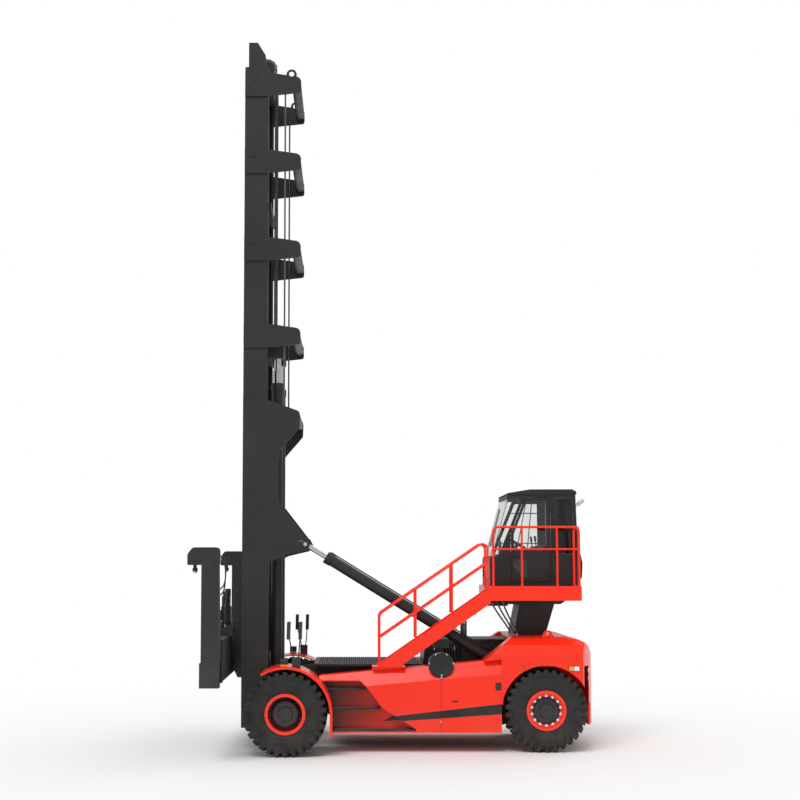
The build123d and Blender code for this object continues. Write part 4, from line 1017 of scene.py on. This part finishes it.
grip = {"bar": 0.007, "lozenge": (0.036, 0.014, 0.005), "lozengeTop": (0.72, 0.55, 1), "pitch": 0.078,
        "barsEach": 5, "barFirst": 0.025, "barPitch": 0.040, "barDrop": 0.028, "barEnds": (0.990, 1.415),
        "stepLines": (1.30, 1.36, 1.42), "stepFront": 0.04, "stepRear": 0.10, "stepRise": 0.001}
treads = [(-2.044, 1.668), (-2.374, 1.893), (-2.703, 2.119), (-3.032, 2.344), (-3.361, 2.570)]
plates = [((-2.30, -0.90), (-0.50, 0.90), 1.460), ((-4.98, 0.83), (-3.56, 1.38), 2.800)]
railFeet = [(-3.519, 1.425), (-4.985, 1.425), (-4.009, 1.425), (-4.610, 1.425), (-4.990, 1.340),
            (-4.990, 0.800)]
sleeve = {"low": 2.799, "high": 2.835, "radius": 0.0235}


def makeLozenge():
    deselectAll()
    bpy.ops.mesh.primitive_cylinder_add(vertices=4, radius=0.5, depth=1)
    piece = bpy.context.object
    piece.scale = grip["lozenge"]
    bakePlace(piece)
    bpy.ops.object.mode_set(mode="EDIT")
    selectFaces(piece, Vector((0, 0, 1)))
    bpy.ops.transform.resize(value=grip["lozengeTop"])
    bpy.ops.object.mode_set(mode="OBJECT")
    piece.data.materials.append(frameBlack)
    return piece


def coverPlate(low, high, z):
    low, high = at(*low, z + grip["lozenge"][2] * 0.4), at(*high, z)
    pitch = grip["pitch"]
    fields = []
    for turn, shift in ((45, 0.0), (-45, 0.5)):
        piece = makeLozenge()
        first = low + Vector((pitch * (0.5 + shift), pitch * (0.5 + shift), 0))
        piece.data.transform(Matrix.Translation(first) @ Matrix.Rotation(math.radians(turn), 4, "Z"))
        repeatPiece(piece, int((high.x - low.x) / pitch - shift), (pitch, 0, 0))
        repeatPiece(piece, int((high.y - low.y) / pitch - shift), (0, pitch, 0))
        fields.append(piece)
    return joinPieces("field", fields)


def makeWalkways():
    seatPiece(joinPieces("deck_lozenges", [coverPlate(*plate) for plate in plates]), "chassis")
    lines = []
    for x, z in treads:
        for k in range(grip["barsEach"]):
            front = x - grip["barFirst"] - grip["barPitch"] * k
            lines.append([(front, y, z - grip["barDrop"]) for y in grip["barEnds"]])
    for front, rear, top in steps:
        for y in grip["stepLines"]:
            ends = (front - grip["stepFront"], rear + grip["stepRear"])
            lines.append([(x, y, top + grip["stepRise"]) for x in ends])
    bars = [addTube("bar", line, grip["bar"], frameBlack, sides=1) for line in lines]
    seatPiece(joinPieces("tread_grips", bars), "chassis")
    look = (sleeve["low"], sleeve["high"], sleeve["radius"], bodyRed, 20, 0.005)
    sleeves = [addPost("sleeve", x, y, *look) for x, y in railFeet]
    seatPiece(joinPieces("rail_sleeves", sleeves), "chassis")


makeWalkways()
print("walkways covered")


# Body fittings: hood chamfers and latches, tail skirt, panel seams, filler box, air cleaner clips, pipework

hood = {"front": -2.376, "crest": -2.478, "rear": -3.838, "side": 0.6405, "edge": 1.7795, "chamfer": 0.081,
        "thick": 0.005, "latches": (-2.46, -3.14, -3.44)}
skirt = {"half": 0.95, "inner": -5.172, "low": 0.42, "high": 0.892, "steps": 12, "inset": 0.003}
panelRows = {
    "seam": (addBlock, (-2.6205, 1.444, 0.345), (-2.6135, 1.448, 1.295), mouldedBlack, 0.001),
    "filler": (addBlock, (-3.632, 1.448, 1.045), (-3.536, 1.456, 1.175), mouldedBlack, 0.006),
    "fillerLid": (addBlock, (-3.622, 1.450, 1.057), (-3.546, 1.460, 1.163), frameBlack, 0.004),
    "handle": (addBlock, (-2.895, 1.448, 0.850), (-2.800, 1.462, 0.874), mouldedBlack, 0.005),
    "weightSeam": (addTube, [(-3.990, 1.450, 1.560), (-4.030, 1.450, 1.374)], 0.003, mouldedBlack),
    "bolt": (addRod, (-2.609, 1.448, 0.526), (-2.609, 1.458, 0.526), 0.016, zincSteel)}


def latchRows(x):
    back, front = hood["side"] - 0.002, hood["side"] + 0.012
    return {"latch": (addBlock, (x - 0.018, back, 1.470), (x + 0.018, front, 1.545), mouldedBlack, 0.005),
            "catch": (addBlock, (x - 0.026, back, 1.432), (x + 0.026, front - 0.002, 1.458), zincSteel)}


def makeHoodChamfers():
    side, edge, cut = hood["side"], hood["edge"], hood["chamfer"]
    outline = [(hood["rear"], side, edge), (hood["front"], side, edge),
               (hood["crest"], side - cut, edge + cut), (hood["rear"], side - cut, edge + cut)]
    parts = [addPlate("chamfer", outline, (0, -hood["thick"], -hood["thick"]), frameBlack, 0.001)]
    for x in hood["latches"]:
        parts += buildAll(latchRows(x))
    seatPiece(bothSides(parts, "hood_trim"), "chassis")


def makeTailSkirt():
    half, low, count = skirt["half"], skirt["low"], skirt["steps"]
    outline = [onTail(-half + 2 * half * k / count, low, -skirt["inset"]) for k in range(count + 1)]
    outline += [(skirt["inner"], half, low), (skirt["inner"], -half, low)]
    plate = addPlate("tail_skirt", outline, (0, 0, skirt["high"] - low), bodyRed, 0.012)
    seatPiece(plate, "chassis")


cleaner = {"x": -2.620, "z": 1.464, "radius": 0.208, "clips": (-80, -27, 27, 80, 180),
           "hoops": (1.080, 1.385)}


def makeCleanerFittings():
    x, z, radius = cleaner["x"], cleaner["z"], cleaner["radius"]
    top = z + radius
    clip = addBlock("clip", (x - 0.020, 1.400, top - 0.012), (x + 0.020, 1.468, top + 0.008), zincSteel)
    parts = [turnCopies(clip, at(x, 0, z), [math.radians(turn) for turn in cleaner["clips"]], "clips")]
    angles = [k * math.pi / 24 for k in range(48)]
    for y in cleaner["hoops"]:
        hoop = [(x + radius * math.cos(angle), y, z + radius * math.sin(angle)) for angle in angles]
        parts.append(addTube("hoop", hoop, 0.006, lineSteel, closed=True, sides=1))
    parts.append(addRod("drain", (-2.626, 1.462, 1.299), (-2.626, 1.472, 1.299), 0.014, clearLens))
    seatPiece(joinPieces("cleaner_fittings", parts), "chassis")


pipes = {"feedLines": (0.500, 0.560, 0.620), "top": -3.560, "topPitch": 0.095, "foot": -3.900,
         "footPitch": 0.050, "bars": 6, "barLow": 2.985, "barPitch": 0.033, "barHalf": 0.27,
         "underHalf": 0.460,
         "under": [(-3.590, 2.558), (-4.930, 2.558), (-4.800, 2.470), (-3.670, 2.470)]}
ringRows = {
    "flange": (addRod, (-3.090, 0.300, 1.858), (-3.090, 0.300, 1.876), 0.088, lineSteel, 32),
    "clamp": (addRod, (-3.090, 0.300, 2.128), (-3.090, 0.300, 2.156), 0.064, zincSteel, 32),
    "pipeClamp": (addRod, (-3.600, 0.300, 2.480), (-3.626, 0.300, 2.480), 0.051, zincSteel, 32)}


def makePipework():
    parts = buildAll(ringRows)
    for k, y in enumerate(pipes["feedLines"]):
        top, foot = pipes["top"] - pipes["topPitch"] * k, pipes["foot"] - pipes["footPitch"] * k
        line = [(top, 2.560), (top - 0.010, 2.470), (foot + 0.040, 2.060), (foot, 1.985), (foot, 1.926)]
        parts.append(addTube("feed", inPlane(y, line), 0.015, lineSteel, smooth=True))
        parts.append(addPost("union", foot, y, 1.924, 1.960, 0.022, zincSteel, 6))
    half = pipes["underHalf"]
    parts.append(addPlate("underFrame", inPlane(-half, pipes["under"]), (0, half * 2, 0), frameBlack, 0.006))
    for k in range(pipes["bars"]):
        z = pipes["barLow"] + pipes["barPitch"] * k
        x = -5.2015 - 0.052 * (z - 2.91)  # the guard leans back
        ends = [(x, y, z) for y in (-pipes["barHalf"], pipes["barHalf"])]
        parts.append(addTube("grilleBar", ends, 0.007, frameBlack, sides=1))
    seatPiece(joinPieces("pipework", parts), "chassis")


makeHoodChamfers()
makeTailSkirt()
seatPiece(joinPieces("panel_fittings", buildAll(panelRows)), "chassis")
makeCleanerFittings()
makePipework()
print("body fittings made")


# Lift end: hoses and solenoids on the spreader, hose loops on the carriage, cones under the twistlock heads

hose = {"radius": 0.0125, "count": 4, "firstX": 1.105, "pitchX": 0.022, "firstY": 0.350, "pitchY": 0.045,
        "towerY": 0.135, "crest": 2.585, "drop": 0.05, "manifold": 2.066, "manifoldX": 1.130, "coilX": 1.198}


# Hoses bend softly; their fittings, where they have any, are separate pieces
def addHose(points, radius=hose["radius"]):
    return addTube("hose", points, radius, mouldedBlack, smooth=True)


def makeSpreaderHoses():
    parts = []
    base, x1, coil = hose["manifold"], hose["manifoldX"], hose["coilX"]
    for side in (1, -1):
        for k in range(hose["count"]):
            x, y = hose["firstX"] + hose["pitchX"] * k, side * (hose["firstY"] + hose["pitchY"] * k)
            crest = hose["crest"] - hose["drop"] * k
            parts += [addHose([(x, side * hose["towerY"], crest - 0.03), (x, side * 0.21, crest),
                               (x1, y - side * 0.05, crest + 0.02), (x1, y, crest - 0.12), (x1, y, base)]),
                      addPost("fitting", x1, y, base - 0.004, 2.110, 0.017, zincSteel, 6),
                      addPost("solenoid", coil, y, base, 2.165, 0.019, mouldedBlack, 20, 0.004),
                      addPost("solenoidNut", coil, y, 2.163, 2.182, 0.011, zincSteel, 6)]
        for k in range(3):
            high, end = 2.34 - 0.10 * k, side * (0.34 + 0.06 * k)
            parts.append(addHose([(1.236, side * 0.11, high), (1.240, side * 0.20, high + 0.02),
                                  (1.232, end, 2.30 - 0.05 * k), (1.215, end, 2.060)]))
        low, high = (1.108, side * 0.60 - 0.06, 1.948), (1.222, side * 0.60 + 0.06, 2.030)
        parts.append(addBlock("junction", low, high, frameBlack, 0.006))
    seatPiece(joinPieces("spreader_hoses", parts), "spreader")


carriageHose = {"lines": (-0.21, -0.13, -0.05, 0.05, 0.13, 0.21), "clamps": (1.62, 2.20),
                "bolts": (1.375, 2.455),
                "loop": [(0.966, 1.380), (0.966, 2.300), (0.972, 2.480), (0.968, 2.680), (0.918, 2.700),
                         (0.914, 2.525)]}


def makeCarriageHoses():
    parts = [addHose(inPlane(y, carriageHose["loop"])) for y in carriageHose["lines"]]
    for z in carriageHose["clamps"]:
        parts.append(addBlock("clamp", (0.950, -0.24, z), (0.982, 0.24, z + 0.035), lineSteel, 0.005))
    for z in carriageHose["bolts"]:
        for y in (-0.40, 0.40):
            parts.append(addRod("bolt", (0.948, y, z), (0.960, y, z), 0.018, zincSteel, 6))
    seatPiece(joinPieces("carriage_hoses", parts), "carriage")


sides = {"left": 1, "right": -1}
legHose = {"lines": (2.860, 2.930), "top": 3.300, "topDrop": 0.06, "low": 2.780, "lowDrop": 0.10,
           "radius": 0.011}
lock = {"x": 1.408, "y": 2.9265,
        "profile": [(0.0005, 3.028), (0.018, 3.030), (0.034, 3.046), (0.042, 3.064), (0.0005, 3.064)]}


def makeLegHoses():
    for name, side in sides.items():
        parts = []
        for k, y in enumerate(side * line for line in legHose["lines"]):
            top, low = legHose["top"] - legHose["topDrop"] * k, legHose["low"] - legHose["lowDrop"] * k
            loop = [(1.016, top), (0.965, top + 0.01), (0.915, top - 0.12), (0.925, low + 0.12), (0.975, low),
                    (1.020, low)]
            parts.append(addHose(inPlane(y, loop), legHose["radius"]))
            for first, last in ((top + 0.002, top), (low, low)):
                parts.append(addRod("union", (0.985, y, first), (1.020, y, last), 0.016, zincSteel, 6))
        seatPiece(joinPieces("leg_hoses_" + name, parts), "arm_" + name)


def makeLockCones():
    for name, side in sides.items():
        spot = at(lock["x"], lock["y"] * side, 0)
        profile = [spot + Vector((radius, 0, z)) for radius, z in lock["profile"]]
        cone = spinProfile("cone_" + name, profile, spot, (0, 0, 1), 24, zincSteel)
        seatPiece(cone, "arm_" + name)


pinRows = {
    "pinCap": (addRod, (-0.292, 0.930, 3.520), (-0.292, 0.942, 3.520), 0.034, zincSteel, 32, 0.004),
    "keeper": (addBlock, (-0.262, 0.924, 3.555), (-0.170, 0.934, 3.590), lineSteel, 0.003)}
plugs = {"seams": (11.540, 10.130, 8.544, 6.983), "rise": (0.070, 0.360), "x": (0.440, 0.760)}


def makePinCaps():
    parts = buildAll(pinRows)
    for z in [seam + rise for seam in plugs["seams"] for rise in plugs["rise"]]:
        for x in plugs["x"]:
            parts.append(addRod("plug", (x, 0.924, z), (x, 0.930, z), 0.020, mastGrey, 20))
    seatPiece(bothSides(parts, "mast_pins"), "mast_outer")


makeSpreaderHoses()
makeCarriageHoses()
makeLegHoses()
makePinCaps()
makeLockCones()
print("lift end fitted out")


# Leaf chains: upright runs and a half loop over each sheave, link by link

chain = {"pitch": 0.070, "y": 0.300, "front": (0.620, 1.90), "rear": (0.290, 5.30), "top": 12.25,
         "middle": 0.455, "reach": 0.165, "loopLinks": 7, "plateHalf": 0.018, "plateThick": 0.005,
         "plates": ((-0.021, 0), (0.016, 0), (-0.009, 0.5), (0.004, 0.5)),  # shift across, pitches up
         "outline": ((-0.5, -1, 0.012), (0.5, -1, 0.012), (1, -1, 0), (1, 1, 0), (0.5, 1, 0.012),
                     (-0.5, 1, 0.012), (-1, 1, 0), (-1, -1, 0)),  # across, end, reach past the pin
         "pin": 0.007, "pinHalf": 0.024, "anchorHalf": 0.019, "anchorTall": 0.05}


def makeLink(x, low):
    parts = []
    for shift, phase in chain["plates"]:
        y, middle = chain["y"] + shift, low + chain["pitch"] * (0.5 + phase)
        outline = [(x + chain["plateHalf"] * across, y, middle + end * (chain["pitch"] / 2 + reach))
                   for across, end, reach in chain["outline"]]
        parts.append(addPlate("plate", outline, (0, chain["plateThick"], 0), lineSteel, 0))
    ends = [(x, chain["y"] + reach, low) for reach in (-chain["pinHalf"], chain["pinHalf"])]
    parts.append(addTube("pin", ends, chain["pin"], zincSteel, sides=1))
    return joinPieces("link", parts)


def makeChains():
    parts = []
    y0, y1 = chain["y"] - chain["pinHalf"], chain["y"] + chain["pinHalf"]
    for x, low in (chain["front"], chain["rear"]):
        run = makeLink(x, low)
        repeatPiece(run, int((chain["top"] - low) / chain["pitch"]), (0, 0, chain["pitch"]))
        parts.append(run)
        rear, front = x - chain["anchorHalf"], x + chain["anchorHalf"]
        parts.append(addBlock("anchor", (rear, y0, low), (front, y1, low + chain["anchorTall"]), lineSteel))
    link = makeLink(chain["middle"] + chain["reach"], chain["top"] - chain["pitch"] / 2)
    turn = math.pi / chain["loopLinks"]
    turns = [-turn * (k + 0.5) for k in range(chain["loopLinks"])]
    parts.append(turnCopies(link, at(chain["middle"], 0, chain["top"]), turns, "loop"))
    seatPiece(bothSides(parts, "leaf_chains"), "mast_inner", ["lift_chains"])


makeChains()
print("chains linked")


# Floor and light

white = (1, 1, 1, 1)
studio = {"floorSize": 240, "floorZ": -0.001, "floor": (0.86, 0.86, 0.86, 1), "fade": (4.5, 14.0),
          "sky": 0.62,
          "suns": {"keySun": ((-0.25, -0.55, -0.80), 1.5, 30), "fillSun": ((0.5, 0.5, -0.7), 0.5, 60)}}


def seenBy(tree, *rays):
    given = addNode(tree, "LightPath").outputs
    seen = given["Is Camera Ray"]
    for ray in rays:
        seen = calc(tree, "MAXIMUM", seen, given[ray])
    return seen


def showEither(tree, mask, first, second, kind):
    both = addNode(tree, "MixShader", {0: mask, 1: first.outputs[0], 2: second.outputs[0]})
    tree.links.new(both.outputs[0], addNode(tree, kind).inputs["Surface"])


def makeFloor():
    deselectAll()
    bpy.ops.mesh.primitive_plane_add(size=studio["floorSize"], location=(0, 0, studio["floorZ"]))
    floor = bpy.context.object
    floor.name = "floor"
    material = bpy.data.materials.new("paleFloor")
    material.use_nodes = True
    tree = material.node_tree
    tree.nodes.clear()
    seen = seenBy(tree, "Is Glossy Ray", "Is Transmission Ray")
    reach = addNode(tree, "VectorMath", {0: objectPlace(tree)}, operation="LENGTH").outputs["Value"]
    fade = calc(tree, "MULTIPLY", ramp(tree, reach, *studio["fade"]), seen)
    matte = addNode(tree, "BsdfDiffuse", {"Color": studio["floor"]})
    glow = addNode(tree, "Emission", {"Color": white, "Strength": 1.0})
    showEither(tree, fade, matte, glow, "OutputMaterial")
    floor.data.materials.append(material)


def makeLight():
    world = bpy.data.worlds.new("studio")
    bpy.context.scene.world = world
    world.use_nodes = True
    tree = world.node_tree
    tree.nodes.clear()
    dim = addNode(tree, "Background", {"Color": white, "Strength": studio["sky"]})
    full = addNode(tree, "Background", {"Color": white, "Strength": 1.0})
    showEither(tree, seenBy(tree, "Is Transmission Ray"), dim, full, "OutputWorld")
    for name, (aim, strength, spread) in studio["suns"].items():
        data = bpy.data.lights.new(name, "SUN")
        data.energy = strength
        data.angle = math.radians(spread)
        lamp = bpy.data.objects.new(name, data)
        lamp.rotation_euler = Vector(aim).to_track_quat("-Z", "Y").to_euler()
        bpy.context.scene.collection.objects.link(lamp)


makeFloor()
makeLight()
print("floor and light set")
